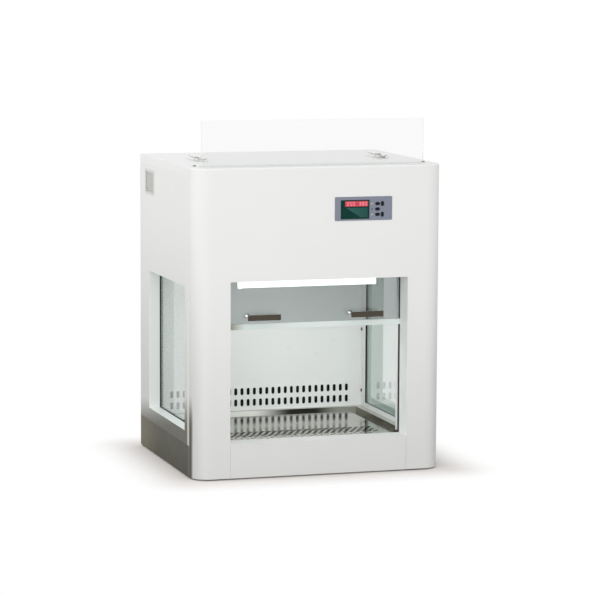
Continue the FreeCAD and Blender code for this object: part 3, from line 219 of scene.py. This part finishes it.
def make_painted_foot_shade():
    """Painted shade: the coat darkens a little towards the floor, and on the sides strongly towards the base."""
    group, given, result = effect_group(
        "painted_foot_shade",
        [("Color", "colour", (1, 1, 1, 1)), ("Tone", "colour", (0.1, 0.1, 0.1, 1)), ("Low", "number", 0.0),
         ("High", "number", 0.1)],
        [("Color", "colour")])
    place = axes_of(group, object_place(group))
    height = math_node(group, "ADD", place["Z"], math_node(group, "MULTIPLY", place["Y"], PAINTED_FOOT_SHADE_CLIMB))
    sideways = math_node(group, "ABSOLUTE", axes_of(
        group, group.nodes.new("ShaderNodeNewGeometry").outputs["Normal"])["X"])
    outside = ramp(group, math_node(group, "ABSOLUTE", place["X"]), OUTER_SKIN, OUTER_SKIN + 0.005)
    fade = ramp(group, height, given["Low"], given["High"], 1.0, 0.0)
    strong = math_node(group, "MULTIPLY", fade, ramp(group, sideways, 0.84, 0.97))
    side = ramp(group, place["Z"], *SIDE_PAINTED_SHADE)
    front = ramp(group, place["Z"], *FRONT_PAINTED_SHADE)
    lean = math_node(group, "MULTIPLY", ramp(group, sideways, 0.3, 0.97), outside)
    slight = math_node(group, "ADD", front, math_node(
        group, "MULTIPLY", lean, math_node(group, "SUBTRACT", side, front)))
    share = math_node(group, "MAXIMUM", slight, math_node(
        group, "MULTIPLY", math_node(group, "MULTIPLY", strong, outside), FULLEST_PAINTED_SHADE))
    group.links.new(mix_colours(group, share, given["Color"], given["Tone"]), result["Color"])
    return group


def make_brushed_lines():
    """Fine parallel scratches: noise drawn out along one axis."""
    group, given, result = effect_group(
        "brushed_lines",
        [("Along", "direction", (6, 900, 900)), ("Roughness", "number", 0.3), ("Spread", "number", 0.15)],
        [("Roughness", "number"), ("Height", "number")])
    stretch = group.nodes.new("ShaderNodeVectorMath")
    stretch.operation = "MULTIPLY"
    group.links.new(object_place(group), stretch.inputs[0])
    group.links.new(given["Along"], stretch.inputs[1])
    lines = noise(group, stretch.outputs["Vector"], 1.0, 4.0, 0.6)
    group.links.new(lines, result["Height"])
    spread = math_node(group, "MULTIPLY", math_node(group, "SUBTRACT", lines, 0.5), given["Spread"])
    group.links.new(math_node(group, "ADD", given["Roughness"], spread), result["Roughness"])
    return group


def make_settled_dust():
    """A thin, uneven film of dust on faces that look up."""
    group, given, result = effect_group(
        "settled_dust",
        [("Color", "colour", (1, 1, 1, 1)), ("Dust", "colour", (0.5, 0.48, 0.44, 1)), ("Amount", "number", 0.1)],
        [("Color", "colour")])
    up = axes_of(group, group.nodes.new("ShaderNodeNewGeometry").outputs["Normal"])["Z"]
    patches = ramp(group, noise(group, object_place(group), 45.0, 6.0, 0.65), 0.35, 0.75)
    share = math_node(group, "MULTIPLY", math_node(group, "MULTIPLY", ramp(group, up, 0.5, 1.0), patches),
                      given["Amount"])
    group.links.new(mix_colours(group, share, given["Color"], given["Dust"]), result["Color"])
    return group


COAT_GRAIN = make_coat_grain()
PAINTED_FOOT_SHADE = make_painted_foot_shade()
BRUSHED_LINES = make_brushed_lines()
SETTLED_DUST = make_settled_dust()


def place_group(tree, group, **values):
    """One use of an effect group, with its own values or links."""
    node = tree.nodes.new("ShaderNodeGroup")
    node.node_tree = group
    for label, value in values.items():
        if isinstance(value, bpy.types.NodeSocket):
            tree.links.new(value, node.inputs[label])
        else:
            node.inputs[label].default_value = value
    return node


def start_material(name, colour, roughness, metallic=0.0):
    """A material with one Principled shader."""
    material = bpy.data.materials.new(name)
    material.use_nodes = True
    tree = material.node_tree
    tree.nodes.clear()
    output = tree.nodes.new("ShaderNodeOutputMaterial")
    shader = add_node(tree, "ShaderNodeBsdfPrincipled", Roughness=roughness, Metallic=metallic)
    shader.inputs["Base Color"].default_value = (*colour, 1.0)
    tree.links.new(shader.outputs["BSDF"], output.inputs["Surface"])
    return material, tree, shader


def bump(tree, shader, height, depth):
    """Relief on the shader's normal; depth is in metres."""
    node = add_node(tree, "ShaderNodeBump", Strength=1.0, Distance=depth)
    tree.links.new(height, node.inputs["Height"])
    tree.links.new(node.outputs["Normal"], shader.inputs["Normal"])


def mix_into_output(tree, share, first, second):
    """Sends a mix of two shaders to the material's output."""
    choice = tree.nodes.new("ShaderNodeMixShader")
    for socket, source in zip(choice.inputs, (share, first, second)):
        tree.links.new(source, socket)
    output = next(node for node in tree.nodes if node.type == "OUTPUT_MATERIAL")
    tree.links.new(choice.outputs["Shader"], output.inputs["Surface"])


def coated(name, colour, roughness=0.38, grain=650.0, depth=0.00003, drift=0.03, dust=0.0, painted_foot_shade=None,
           shine=0.5):
    """Sprayed or moulded surface with a fine grain; shine is the strength of its plain reflections."""
    material, tree, shader = start_material(name, colour, roughness)
    shader.inputs["Specular IOR Level"].default_value = shine
    grains = place_group(tree, COAT_GRAIN, Color=(*colour, 1.0), Roughness=roughness, Grain=grain, Drift=drift)
    result = grains.outputs["Color"]
    # Painted shade: the coat darkens towards the floor and, on the sides, towards the base
    if painted_foot_shade:
        result = place_group(tree, PAINTED_FOOT_SHADE, Color=result, Tone=(*painted_foot_shade, 1.0), Low=PAINTED_FOOT_SHADE_LOW,
                             High=PAINTED_FOOT_SHADE_HIGH).outputs["Color"]
    if dust:
        result = place_group(tree, SETTLED_DUST, Color=result, Amount=dust).outputs["Color"]
    tree.links.new(result, shader.inputs["Base Color"])
    tree.links.new(grains.outputs["Roughness"], shader.inputs["Roughness"])
    bump(tree, shader, grains.outputs["Height"], depth)
    return material


def brushed(name, colour, roughness, along, spread=0.15, depth=0.00001):
    """Bare metal with parallel scratches."""
    material, tree, shader = start_material(name, colour, roughness, 1.0)
    lines = place_group(tree, BRUSHED_LINES, Along=along, Roughness=roughness, Spread=spread)
    tree.links.new(lines.outputs["Roughness"], shader.inputs["Roughness"])
    bump(tree, shader, lines.outputs["Height"], depth)
    return material


def clear(name, colour, roughness, ior, shadow_colour, top_colour=None):
    """Clear sheet of a given colour that lets lamp light through without caustics; its colour may grow lighter
    towards its top.
    """
    material, tree, shader = start_material(name, colour, roughness)
    shader.inputs["Transmission Weight"].default_value = 1.0
    shader.inputs["IOR"].default_value = ior
    smears = ramp(tree, noise(tree, object_place(tree), 12.0, 5.0, 0.6), 0.4, 0.8)
    faded = tuple(channel * 0.985 for channel in colour)
    tint = mix_colours(tree, smears, (*colour, 1.0), (*faded, 1.0))
    if top_colour:
        height = ramp(tree, axes_of(tree, object_place(tree))["Z"], *SASH_CLEARING_HEIGHTS)
        tint = mix_colours(tree, height, tint, (*top_colour, 1.0))
    tree.links.new(tint, shader.inputs["Base Color"])
    path = tree.nodes.new("ShaderNodeLightPath")
    open_rays = math_node(tree, "MAXIMUM", path.outputs["Is Shadow Ray"], path.outputs["Is Diffuse Ray"])
    through = tree.nodes.new("ShaderNodeBsdfTransparent")
    through.inputs["Color"].default_value = (*shadow_colour, 1.0)
    mix_into_output(tree, open_rays, shader.outputs["BSDF"], through.outputs["BSDF"])
    return material


def glowing(name, colour, strength):
    """A lit surface under a plain skin."""
    smoothest, roughest = 0.3, 0.4
    material, tree, shader = start_material(name, colour, smoothest)
    shader.inputs["Emission Color"].default_value = (*colour, 1.0)
    shader.inputs["Emission Strength"].default_value = strength
    drift = noise(tree, object_place(tree), 220.0)
    tree.links.new(ramp(tree, drift, 0.0, 1.0, smoothest, roughest), shader.inputs["Roughness"])
    return material


def screen_material():
    """Dark green window with a painted reflection: a paler wedge over its lower right half.

    The reflection's edges are shares of the window's width and height; its left edge slants.
    """
    slant_at, top_at, right_at, bottom_at, soft = 0.78, 0.585, 0.93, 0.08, 0.01
    low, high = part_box("display_window")
    material, tree, shader = start_material("display_green", (0.004, 0.04, 0.032), 0.12)
    place = axes_of(tree, object_place(tree))
    across = ramp(tree, place["X"], low.x, high.x)
    along = math_node(tree, "DIVIDE", math_node(tree, "SUBTRACT", place["X"], low.x), high.x - low.x)
    up = math_node(tree, "DIVIDE", math_node(tree, "SUBTRACT", place["Z"], low.z), high.z - low.z)
    slant = math_node(tree, "SUBTRACT", math_node(tree, "ADD", along, up), slant_at)
    wedge = ramp(tree, slant, -0.006, 0.006)
    below = ramp(tree, up, top_at, top_at + soft, 1.0, 0.0)
    inside = math_node(tree, "MULTIPLY", ramp(tree, along, right_at, right_at + soft, 1.0, 0.0),
                       ramp(tree, up, bottom_at, bottom_at + soft))
    share = math_node(tree, "MULTIPLY", math_node(tree, "MULTIPLY", wedge, below), inside)
    field = mix_colours(tree, across, (0.035, 0.12, 0.105, 1), (0.02, 0.085, 0.075, 1))
    tree.links.new(mix_colours(tree, share, (0.003, 0.038, 0.03, 1), field), shader.inputs["Base Color"])
    tree.links.new(ramp(tree, noise(tree, object_place(tree), 90.0), 0.3, 0.7, 0.08, 0.16),
                   shader.inputs["Roughness"])
    return material


def shaded(name, colour, tone, axis, low, high, at_low, at_high, roughness):
    """A coat with painted shade: it takes on a second, darker tone along one axis of the object."""
    material, tree, shader = start_material(name, colour, roughness)
    shader.inputs["Specular IOR Level"].default_value = 0.09
    grains = place_group(tree, COAT_GRAIN, Color=(*colour, 1.0), Roughness=roughness, Grain=700.0, Drift=0.06)
    share = ramp(tree, axes_of(tree, object_place(tree))[axis], low, high, at_low, at_high)
    tree.links.new(mix_colours(tree, share, grains.outputs["Color"], (*tone, 1.0)), shader.inputs["Base Color"])
    tree.links.new(grains.outputs["Roughness"], shader.inputs["Roughness"])
    bump(tree, shader, grains.outputs["Height"], 0.00002)
    return material


def plate_material():
    """Polished steel, brushed across, with painted shade darkening its rear edge."""
    steel, polish = (0.50, 0.49, 0.44), 0.13
    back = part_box("work_surface")[1].y
    material, tree, shader = start_material("plate_steel", steel, polish, 1.0)
    lines = place_group(tree, BRUSHED_LINES, Along=(6, 900, 900), Roughness=polish, Spread=0.06)
    bump(tree, shader, lines.outputs["Height"], 0.00001)
    tree.links.new(lines.outputs["Roughness"], shader.inputs["Roughness"])
    # Painted shade along the plate's rear edge, over the gap behind it
    rear = ramp(tree, axes_of(tree, object_place(tree))["Y"], back - 34 * MM, back - 12 * MM, 0.0, 0.75)
    tree.links.new(mix_colours(tree, rear, (*steel, 1), (0.02, 0.02, 0.017, 1)), shader.inputs["Base Color"])
    return material


def rim_painted_light():
    """The rear wall of the tray with painted light and reflection: bright at the left, dark right of the middle,
    mid grey at the right.
    """
    material, tree, shader = start_material("rim_painted_light", (0.5, 0.5, 0.47), 0.3)
    place = axes_of(tree, object_place(tree))
    fall = mix_colours(tree, ramp(tree, place["X"], -0.03, 0.068), (0.94, 0.94, 0.89, 1), (0.022, 0.022, 0.018, 1))
    rise = mix_colours(tree, ramp(tree, place["X"], 0.12, 0.18), fall, (0.31, 0.305, 0.27, 1))
    tree.links.new(rise, shader.inputs["Base Color"])
    lines = place_group(tree, BRUSHED_LINES, Along=(8, 900, 900), Roughness=0.3, Spread=0.1)
    tree.links.new(lines.outputs["Roughness"], shader.inputs["Roughness"])
    return material


WHITE = (0.84, 0.843, 0.838)
# Dark olive of the painted shade that the sides take towards the base
PAINTED_SHADE_OLIVE = (0.062, 0.061, 0.042)

white_coat = coated("white_coat", WHITE, dust=0.05)
# The outer coat, with painted shade towards the floor and the base
side_coat_painted_shade = coated("side_coat_painted_shade", WHITE, dust=0.05, painted_foot_shade=PAINTED_SHADE_OLIVE, shine=0.09)
# A lighter copy of the white coat: painted light on the jambs that the header shades
jamb_painted_light = coated("jamb_painted_light", (0.92, 0.92, 0.915), dust=0.05)
# Dark olive, darker towards the back: painted shade on the base
base_painted_shade = shaded("olive_base_painted_shade", (0.150, 0.136, 0.096), (0.070, 0.068, 0.047), "Y", 0.05, 0.22, 1.0, 0.0, 0.45)
# Near black: painted shade inside the rear panel, behind its slots
duct_painted_shade = coated("duct_painted_shade", (0.012, 0.012, 0.012), roughness=0.7)
chamber_coat = coated("chamber_coat", (0.86, 0.865, 0.86), roughness=0.3, grain=500.0, dust=0.04)
guide_coat = coated("guide_coat", (0.05, 0.048, 0.043), roughness=0.4)
# The trim takes the painted shade towards the floor too
trim_gloss = coated("pale_trim", (0.78, 0.78, 0.76), roughness=0.3, grain=900.0, depth=0.00001,
                    painted_foot_shade=(0.38, 0.375, 0.31))
rubber = coated("black_rubber", (0.012, 0.012, 0.013), roughness=0.65, grain=1400.0, depth=0.00005)
bezel_coat = coated("bezel_blue_grey", (0.215, 0.23, 0.295), roughness=0.5, grain=1800.0, depth=0.00002)
key_plastic = coated("key_black", (0.003, 0.008, 0.012), roughness=0.4, grain=2200.0, depth=0.00001, shine=0.25)
fitting_plastic = coated("fitting_white", (0.80, 0.81, 0.80), roughness=0.45)
grille_coat = coated("grille_grey", (0.66, 0.66, 0.645), roughness=0.5, dust=0.2)
pad_fibre = coated("pad_fibre", (0.70, 0.70, 0.68), roughness=0.9, grain=1500.0, depth=0.0002, drift=0.1)
fan_coat = coated("fan_black", (0.015, 0.015, 0.017), roughness=0.4, dust=0.3)
inlet_plastic = coated("inlet_black", (0.01, 0.01, 0.011), roughness=0.45, grain=1500.0)
filter_paper = coated("filter_paper", (0.84, 0.84, 0.80), roughness=0.9, grain=2500.0, depth=0.0001)
tray_steel = brushed("tray_steel", (0.58, 0.57, 0.52), 0.24, (2500, 25, 2500), spread=0.08, depth=0.000003)
tray_rim_painted_light = rim_painted_light()
plate_steel = plate_material()
zinc_sheet = brushed("zinc_sheet", (0.55, 0.56, 0.57), 0.35, (40, 60, 60), spread=0.25)
filter_metal = brushed("filter_aluminium", (0.72, 0.73, 0.74), 0.32, (8, 700, 700))
motor_metal = brushed("motor_metal", (0.40, 0.41, 0.42), 0.4, (300, 300, 300))
chrome = brushed("bright_chrome", (0.72, 0.72, 0.71), 0.12, (300, 300, 300), spread=0.05, depth=0.000001)
post_metal = brushed("post_steel", (0.66, 0.66, 0.65), 0.22, (300, 300, 300), spread=0.1)
handle_metal = brushed("handle_steel", (0.105, 0.09, 0.07), 0.25, (20, 900, 900), spread=0.1)
window_glass = clear("window_glass", (0.74, 0.785, 0.765), 0.0, 1.5, (0.86, 0.93, 0.91))
# Darker low down and clearing towards the top
sash_acrylic = clear("sash_acrylic", (0.53, 0.56, 0.565), 0.0, 1.49, (0.90, 0.93, 0.92),
                     top_colour=(0.98, 0.985, 0.98))
# Opaque pale pane edges: painted light on the acrylic's edge faces
sash_edge_painted_light = coated("sash_edge_painted_light", (0.80, 0.82, 0.79), roughness=0.3)
# The rail's left end darkens to olive: painted shade
rail_coat = shaded("pale_rail", (0.78, 0.855, 0.84), (0.26, 0.25, 0.18), "X", -0.188, -0.142, 1.0, 0.0, 0.3)
display_green = screen_material()
readout_glow = glowing("readout_red", (0.50, 0.04, 0.07), 0.18)
digit_glow = glowing("digit_red", (0.75, 0.25, 0.29), 0.5)
lamp_glow = glowing("lamp_white", (0.98, 0.99, 1.0), 2.2)
dot_pale = coated("dot_pale", (0.62, 0.62, 0.55), roughness=0.3)
dot_blue = coated("dot_blue", (0.02, 0.03, 0.16), roughness=0.3)


def set_material(name, material):
    """Gives a CAD node one finish."""
    for slot in NODES[name].material_slots:
        slot.material = material


def link_piece(name, mesh, body):
    """A new object of the scene that rides on a body."""
    piece = bpy.data.objects.new(name, mesh)
    bpy.context.scene.collection.objects.link(piece)
    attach(piece, body)
    return piece


def dressed(name, material, edge=0.35, segments=2):
    """Stands for a CAD node: the same form, with its sharp edges broken by edge millimetres."""
    mesh = NODES[name].data.copy()
    shape = bmesh.new()
    shape.from_mesh(mesh)
    bmesh.ops.remove_doubles(shape, verts=shape.verts, dist=0.002 * MM)
    shape.to_mesh(mesh)
    shape.free()
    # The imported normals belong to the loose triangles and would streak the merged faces
    for attribute in [item for item in mesh.attributes if item.name == "custom_normal"]:
        mesh.attributes.remove(attribute)
    mesh.materials.clear()
    mesh.materials.append(material)
    mesh.shade_smooth()
    mesh.set_sharp_from_angle(angle=SHARP_FOLD)
    piece = link_piece(name + "_skin", mesh, NODES[name]["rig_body"])
    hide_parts(name)
    if edge:
        soft = piece.modifiers.new("broken_edges", "BEVEL")
        soft.width = edge * MM
        soft.segments = segments
        soft.limit_method = "ANGLE"
        soft.angle_limit = SHARP_FOLD
        soft.use_clamp_overlap = False
        soft.miter_outer = "MITER_ARC"
    even = piece.modifiers.new("even_normals", "WEIGHTED_NORMAL")
    even.weight = 100
    even.keep_sharp = not edge
    return piece


def paint_faces(piece, material, chosen):
    """Gives a second finish to the faces that chosen picks by their middle and normal."""
    piece.data.materials.append(material)
    last = len(piece.data.materials) - 1
    for face in piece.data.polygons:
        if chosen(face.center, face.normal):
            face.material_index = last


def add_block(shape, low, high):
    """A box between two corners, in metres."""
    low, high = Vector(low), Vector(high)
    made = bmesh.ops.create_cube(shape, size=1.0)["verts"]
    bmesh.ops.scale(shape, vec=high - low, verts=made)
    bmesh.ops.translate(shape, vec=(low + high) / 2, verts=made)


def new_piece(name, shape, material, body):
    """A modelled piece from a finished bmesh, which it uses up."""
    mesh = bpy.data.meshes.new(name)
    bmesh.ops.recalc_face_normals(shape, faces=shape.faces)
    shape.to_mesh(mesh)
    shape.free()
    mesh.materials.append(material)
    return link_piece(name, mesh, body)


def punch_plate(plate):
    """Cuts the further rows of small holes behind the ones along the sill."""
    low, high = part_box("work_surface")
    pitch, step, radius, margin = 14 * MM, 12 * MM, 5 * MM, 18 * MM
    rows, first_row, pin_length = 5, low.y + 52 * MM, 6 * MM
    columns = int(high.x / pitch)
    pins = bmesh.new()
    for row in range(rows):
        for column in range(-columns, columns + 1):
            middle = Vector(((column + row % 2 / 2) * pitch, first_row + row * step, high.z))
            if abs(middle.x) < high.x - margin:
                bmesh.ops.create_cone(pins, cap_ends=True, segments=12, radius1=radius, radius2=radius,
                                      depth=pin_length, matrix=Matrix.Translation(middle))
    mesh = bpy.data.meshes.new("hole_pins")
    pins.to_mesh(mesh)
    pins.free()
    cutter = bpy.data.objects.new("hole_pins", mesh)
    bpy.context.scene.collection.objects.link(cutter)
    plate.modifiers.clear()
    cut = plate.modifiers.new("holes", "BOOLEAN")
    cut.object = cutter
    cut.operation = "DIFFERENCE"
    cut.solver = "EXACT"
    ready = plate.evaluated_get(bpy.context.evaluated_depsgraph_get())
    plate.data = bpy.data.meshes.new_from_object(ready)
    plate.data.shade_flat()
    plate.modifiers.clear()
    bpy.data.objects.remove(cutter)
    bpy.data.meshes.remove(mesh)


def dress_cabinet():
    """Outer sheets, chamber, frames and glass."""
    for name in ("top_panel", "service_lid"):
        dressed(name, white_coat, 0.3)
    back = dressed("rear_panel", white_coat, 0.0)
    # Painted shade: the rear panel's inner faces are near black, so its slots look dark
    paint_faces(back, duct_painted_shade, lambda middle, normal: normal.y < -0.5)
    front = dressed("front_frame", side_coat_painted_shade, 0.3)
    # Painted light: the jambs take the lighter coat where the header shades them
    paint_faces(front, jamb_painted_light, lambda middle, normal: abs(middle.x) < OPENING_REACH and abs(normal.x) > 0.5)
    dressed("front_sill_panel", side_coat_painted_shade, 0.3)
    for hand in HANDS:
        panel = dressed(hand + "_side_panel", side_coat_painted_shade, 0.3)
        paint_faces(panel, white_coat, lambda middle, normal: abs(normal.x) < 0.5 or middle.x * normal.x < 0)
        dressed(hand + "_edge_trim", trim_gloss, 0.0)
        dressed(hand + "_side_liner", chamber_coat, 0.0)
        guide = dressed(hand + "_sash_guide", chamber_coat, 0.0)
        paint_faces(guide, guide_coat, lambda middle, normal: middle.y < SASH_BACK + 5 * MM)
        gasket = dressed(hand + "_window_gasket", rubber, 0.0)
        paint_faces(gasket, chamber_coat, lambda middle, normal:
                    middle.x * normal.x < -0.2 or abs(middle.x) > PANE_OUTSIDE)
        set_material(hand + "_side_glass", window_glass)
    edgings = dressed("window_edgings", rubber, 0.0)
    paint_faces(edgings, chamber_coat, lambda middle, normal: middle.x > 0 and normal.x < 0.5)
    dressed("base_frame", base_painted_shade, 0.3)
    dressed("back_liner", chamber_coat, 0.0)
    dressed("ceiling_diffuser", chamber_coat, 0.0)
    tray = dressed("tray_well", tray_steel, 0.25)
    tray_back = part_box("work_surface")[1].y
    # Painted light and reflection on the tray's rear wall
    paint_faces(tray, tray_rim_painted_light, lambda middle, normal: normal.y < -0.5 and middle.y > tray_back)
    punch_plate(dressed("work_surface", plate_steel, 0.0))
    dressed("rubber_feet", rubber, 0.4)
    dressed("sash_stops", rubber, 0.4)
    fitting = dressed("lamp_fitting", fitting_plastic, 0.0)
    tube_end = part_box("lamp_tube")[1].x - 4 * MM
    # Painted light: the left fitting's faces glow like the tube, though they are no lamp
    paint_faces(fitting, lamp_glow, lambda middle, normal: middle.x < -tube_end and normal.z < 0.5)
    dressed("lamp_tube", lamp_glow, 0.0)


def dress_vents():
    """Intake grilles with a fibre pad behind their slats."""
    dressed("vent_grilles", grille_coat, 0.0)
    low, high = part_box("vent_grilles")
    edge, depth = 3 * MM, 1.2 * MM
    outer = abs(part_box("left_side_panel")[0].x) - 2.2 * MM
    shape = bmesh.new()
    for sign in (-1, 1):
        left, right = sorted((sign * outer, sign * (outer - depth)))
        add_block(shape, (left, low.y + edge, low.z + edge), (right, high.y - edge, high.z - edge))
    new_piece("vent_pads", shape, pad_fibre, "cabinet")


def dress_sash():
    """The pane with its painted bright edges, the bottom rail and the two handles."""
    bar_depth = 6.5 * MM
    pane = dressed("sash_pane", sash_acrylic, 0.0)
    # Painted light: the pane's edge faces are opaque and pale
    paint_faces(pane, sash_edge_painted_light, lambda middle, normal: abs(normal.x) > 0.3 or abs(normal.z) > 0.5)
    dressed("sash_bottom_rail", rail_coat, 0.3)
    for hand in HANDS:
        bar = dressed(hand + "_sash_handle", handle_metal, 0.0)
        bar_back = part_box(hand + "_sash_handle")[0].y + bar_depth
        # Painted highlight: the bars' top faces are bright chrome
        paint_faces(bar, chrome, lambda middle, normal: normal.z > 0.5)
        paint_faces(bar, post_metal, lambda middle, normal: middle.y > bar_back)
    dressed("handle_nuts", chrome, 0.2)


def dress_air_head():
    """What the head holds, behind the sheets."""
    for name in ("filter_housing", "blower_deck", "inlet_ring", "motor_bracket"):
        set_material(name, zinc_sheet)
    set_material("filter_frame", filter_metal)
    set_material("filter_media", filter_paper)
    dressed("impeller", fan_coat, 0.0)
    set_material("fan_motor", motor_metal)


# Bars of a seven-segment digit, as left, low, right and high shares of its width and height
BARS = {"top": (0.15, 0.88, 0.85, 1.0), "middle": (0.15, 0.44, 0.85, 0.56), "bottom": (0.15, 0.0, 0.85, 0.12),
        "low_left": (0.0, 0.06, 0.2, 0.46), "low_right": (0.8, 0.06, 1.0, 0.46),
        "high_left": (0.0, 0.54, 0.2, 0.94), "high_right": (0.8, 0.54, 1.0, 0.94)}
DIGITS = {"0": ("top", "bottom", "low_left", "low_right", "high_left", "high_right"),
          "3": ("top", "middle", "bottom", "low_right", "high_right"),
          "5": ("top", "middle", "bottom", "low_right", "high_left"),
          "8": tuple(BARS)}


def make_readout():
    """Red field on the window with pale digits, both thinner than the window's set-back."""
    low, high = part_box("led_readout")
    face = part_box("display_window")[0].y
    field = bmesh.new()
    add_block(field, (low.x, face - 0.10 * MM, low.z), (high.x, face - 0.01 * MM, high.z))
    piece = new_piece("readout_field", field, readout_glow, "cabinet")
    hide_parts("led_readout")
    digits = bmesh.new()
    width, height, step = 4.6 * MM, 7.4 * MM, 6.6 * MM
    left, foot = low.x + 3.4 * MM, (low.z + high.z - height) / 2
    for place, sign in enumerate("050 380"):
        for bar in DIGITS.get(sign, ()):
            x_low, z_low, x_high, z_high = BARS[bar]
            corner = left + place * step
            add_block(digits, (corner + x_low * width, face - 0.18 * MM, foot + z_low * height),
                      (corner + x_high * width, face - 0.09 * MM, foot + z_high * height))
    new_piece("readout_digits", digits, digit_glow, "cabinet")


def dress_panel():
    """Key panel and display."""
    dressed("control_bezel", bezel_coat, 0.2)
    set_material("control_box", fitting_plastic)
    dressed("display_window", display_green, 0.15)
    make_readout()
    middle = sum(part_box("indicator_lamps"), Vector()) / 2
    dots = dressed("indicator_lamps", dot_pale, 0.0)
    paint_faces(dots, dot_blue, lambda place, normal: abs(place.z - middle.z) < 3 * MM)
    for name in KEYS:
        dressed(name, key_plastic, 0.25, segments=3)


def dress_fittings():
    """Latches, screws and the power inlet."""
    for name in ("latch_bases", "latch_catches"):
        dressed(name, chrome, 0.15)
    for hand in HANDS:
        for part in ("_latch_lever", "_latch_bail"):
            dressed(hand + part, chrome, 0.1)
    dressed("cover_screws", handle_metal, 0.0)
    dressed("liner_screws", handle_metal, 0.0)
    dressed("power_inlet", inlet_plastic, 0.2)


def make_floor():
    """A round white table top whose rim fades into the white surroundings; near the cabinet it is darker, a painted
    shadow.
    """
    shape = bmesh.new()
    bmesh.ops.create_circle(shape, cap_ends=True, segments=96, radius=4.0)
    mesh = bpy.data.meshes.new("table_top")
    shape.to_mesh(mesh)
    shape.free()
    floor = bpy.data.objects.new("table_top", mesh)
    bpy.context.scene.collection.objects.link(floor)
    material, tree, shader = start_material("table_white", (0.86, 0.86, 0.86), 0.9)
    path = tree.nodes.new("ShaderNodeLightPath")
    seen = math_node(tree, "MAXIMUM", path.outputs["Is Camera Ray"], math_node(
        tree, "MAXIMUM", path.outputs["Is Glossy Ray"], path.outputs["Is Transmission Ray"]))
    tree.links.new(mix_colours(tree, seen, TABLE_LIT, TABLE_SEEN), shader.inputs["Base Color"])
    glow = add_node(tree, "ShaderNodeEmission", Strength=1.0)
    place = axes_of(tree, object_place(tree))
    squares = []
    for axis, half in (("X", CAD_BOX[1].x), ("Y", CAD_BOX[1].y)):
        past = math_node(tree, "SUBTRACT", math_node(tree, "ABSOLUTE", place[axis]), half)
        squares.append(math_node(tree, "POWER", math_node(tree, "MAXIMUM", past, 0.0), 2.0))
    distance = math_node(tree, "SQRT", math_node(tree, "ADD", *squares))
    share = math_node(tree, "MULTIPLY", seen, ramp(tree, distance, *TABLE_FADE))
    mix_into_output(tree, share, shader.outputs["BSDF"], glow.outputs["Emission"])
    mesh.materials.append(material)


def make_surroundings():
    """White all round to the eye and through glass; reflections see a darker room behind the camera."""
    darkest, bounce_loss = 0.12, 0.10
    world = bpy.data.worlds.new("studio")
    bpy.context.scene.world = world
    world.use_nodes = True
    tree = world.node_tree
    tree.nodes.clear()
    output = tree.nodes.new("ShaderNodeOutputWorld")
    sky = tree.nodes.new("ShaderNodeBackground")
    towards = axes_of(tree, tree.nodes.new("ShaderNodeTexCoord").outputs["Generated"])
    path = tree.nodes.new("ShaderNodeLightPath")
    behind = ramp(tree, towards["Y"], -0.75, -0.1, darkest, 1.0)
    overhead = ramp(tree, towards["Z"], 0.1, 0.8)
    room = math_node(tree, "MAXIMUM", behind, overhead)
    not_mirrored = math_node(tree, "MAXIMUM", math_node(
        tree, "SUBTRACT", 1.0, path.outputs["Is Glossy Ray"]), path.outputs["Is Transmission Ray"])
    level = math_node(tree, "MAXIMUM", not_mirrored, room)
    dim = math_node(tree, "SUBTRACT", 1.0, math_node(
        tree, "MULTIPLY", path.outputs["Is Diffuse Ray"], bounce_loss))
    tree.links.new(math_node(tree, "MULTIPLY", level, dim), sky.inputs["Strength"])
    tree.links.new(sky.outputs["Background"], output.inputs["Surface"])
    sky.inputs["Color"].default_value = (1, 1, 1, 1)


def make_lamp(name, place, target, width, height, power):
    """A soft rectangular light aimed at a point."""
    light = bpy.data.lights.new(name, "AREA")
    light.shape = "RECTANGLE"
    light.size = width
    light.size_y = height
    light.energy = power
    lamp = bpy.data.objects.new(name, light)
    lamp.location = place
    lamp.rotation_euler = (Vector(target) - Vector(place)).to_track_quat("-Z", "Y").to_euler()
    bpy.context.scene.collection.objects.link(lamp)
    return lamp


def make_lights():
    """Two studio lights, and the light that the tube throws into the chamber."""
    make_lamp("soft_box_front", (-0.7, -3.0, 0.95), (0, -0.2, 0.35), 2.0, 1.2, 30)
    make_lamp("soft_box_left", (-2.2, 0.2, 1.2), (-0.2, 0, 0.4), 1.0, 1.4, 10)
    low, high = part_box("ceiling_diffuser")
    place, target = (0, low.y + 50 * MM, low.z - 12 * MM), (0, high.y, 0.07)
    glow = make_lamp("chamber_light", place, target, 0.40, 0.10, 0.66)
    glow.visible_camera = glow.visible_glossy = glow.visible_transmission = False


def make_camera():
    """The camera at the place and with the lens that the photograph gives."""
    camera = bpy.data.cameras.new("photo_camera")
    camera.lens = CAMERA_LENS
    camera.sensor_width = CAMERA_SENSOR
    camera.clip_end = 50
    holder = bpy.data.objects.new("photo_camera", camera)
    holder.location = CAMERA_PLACE
    holder.rotation_euler = Euler([math.radians(turn) for turn in CAMERA_TURN])
    bpy.context.scene.collection.objects.link(holder)
    bpy.context.scene.camera = holder


make_camera()
dress_cabinet()
dress_vents()
dress_sash()
dress_air_head()
dress_panel()
dress_fittings()
make_floor()
make_surroundings()
make_lights()
bpy.context.scene.view_settings.view_transform = "Standard"
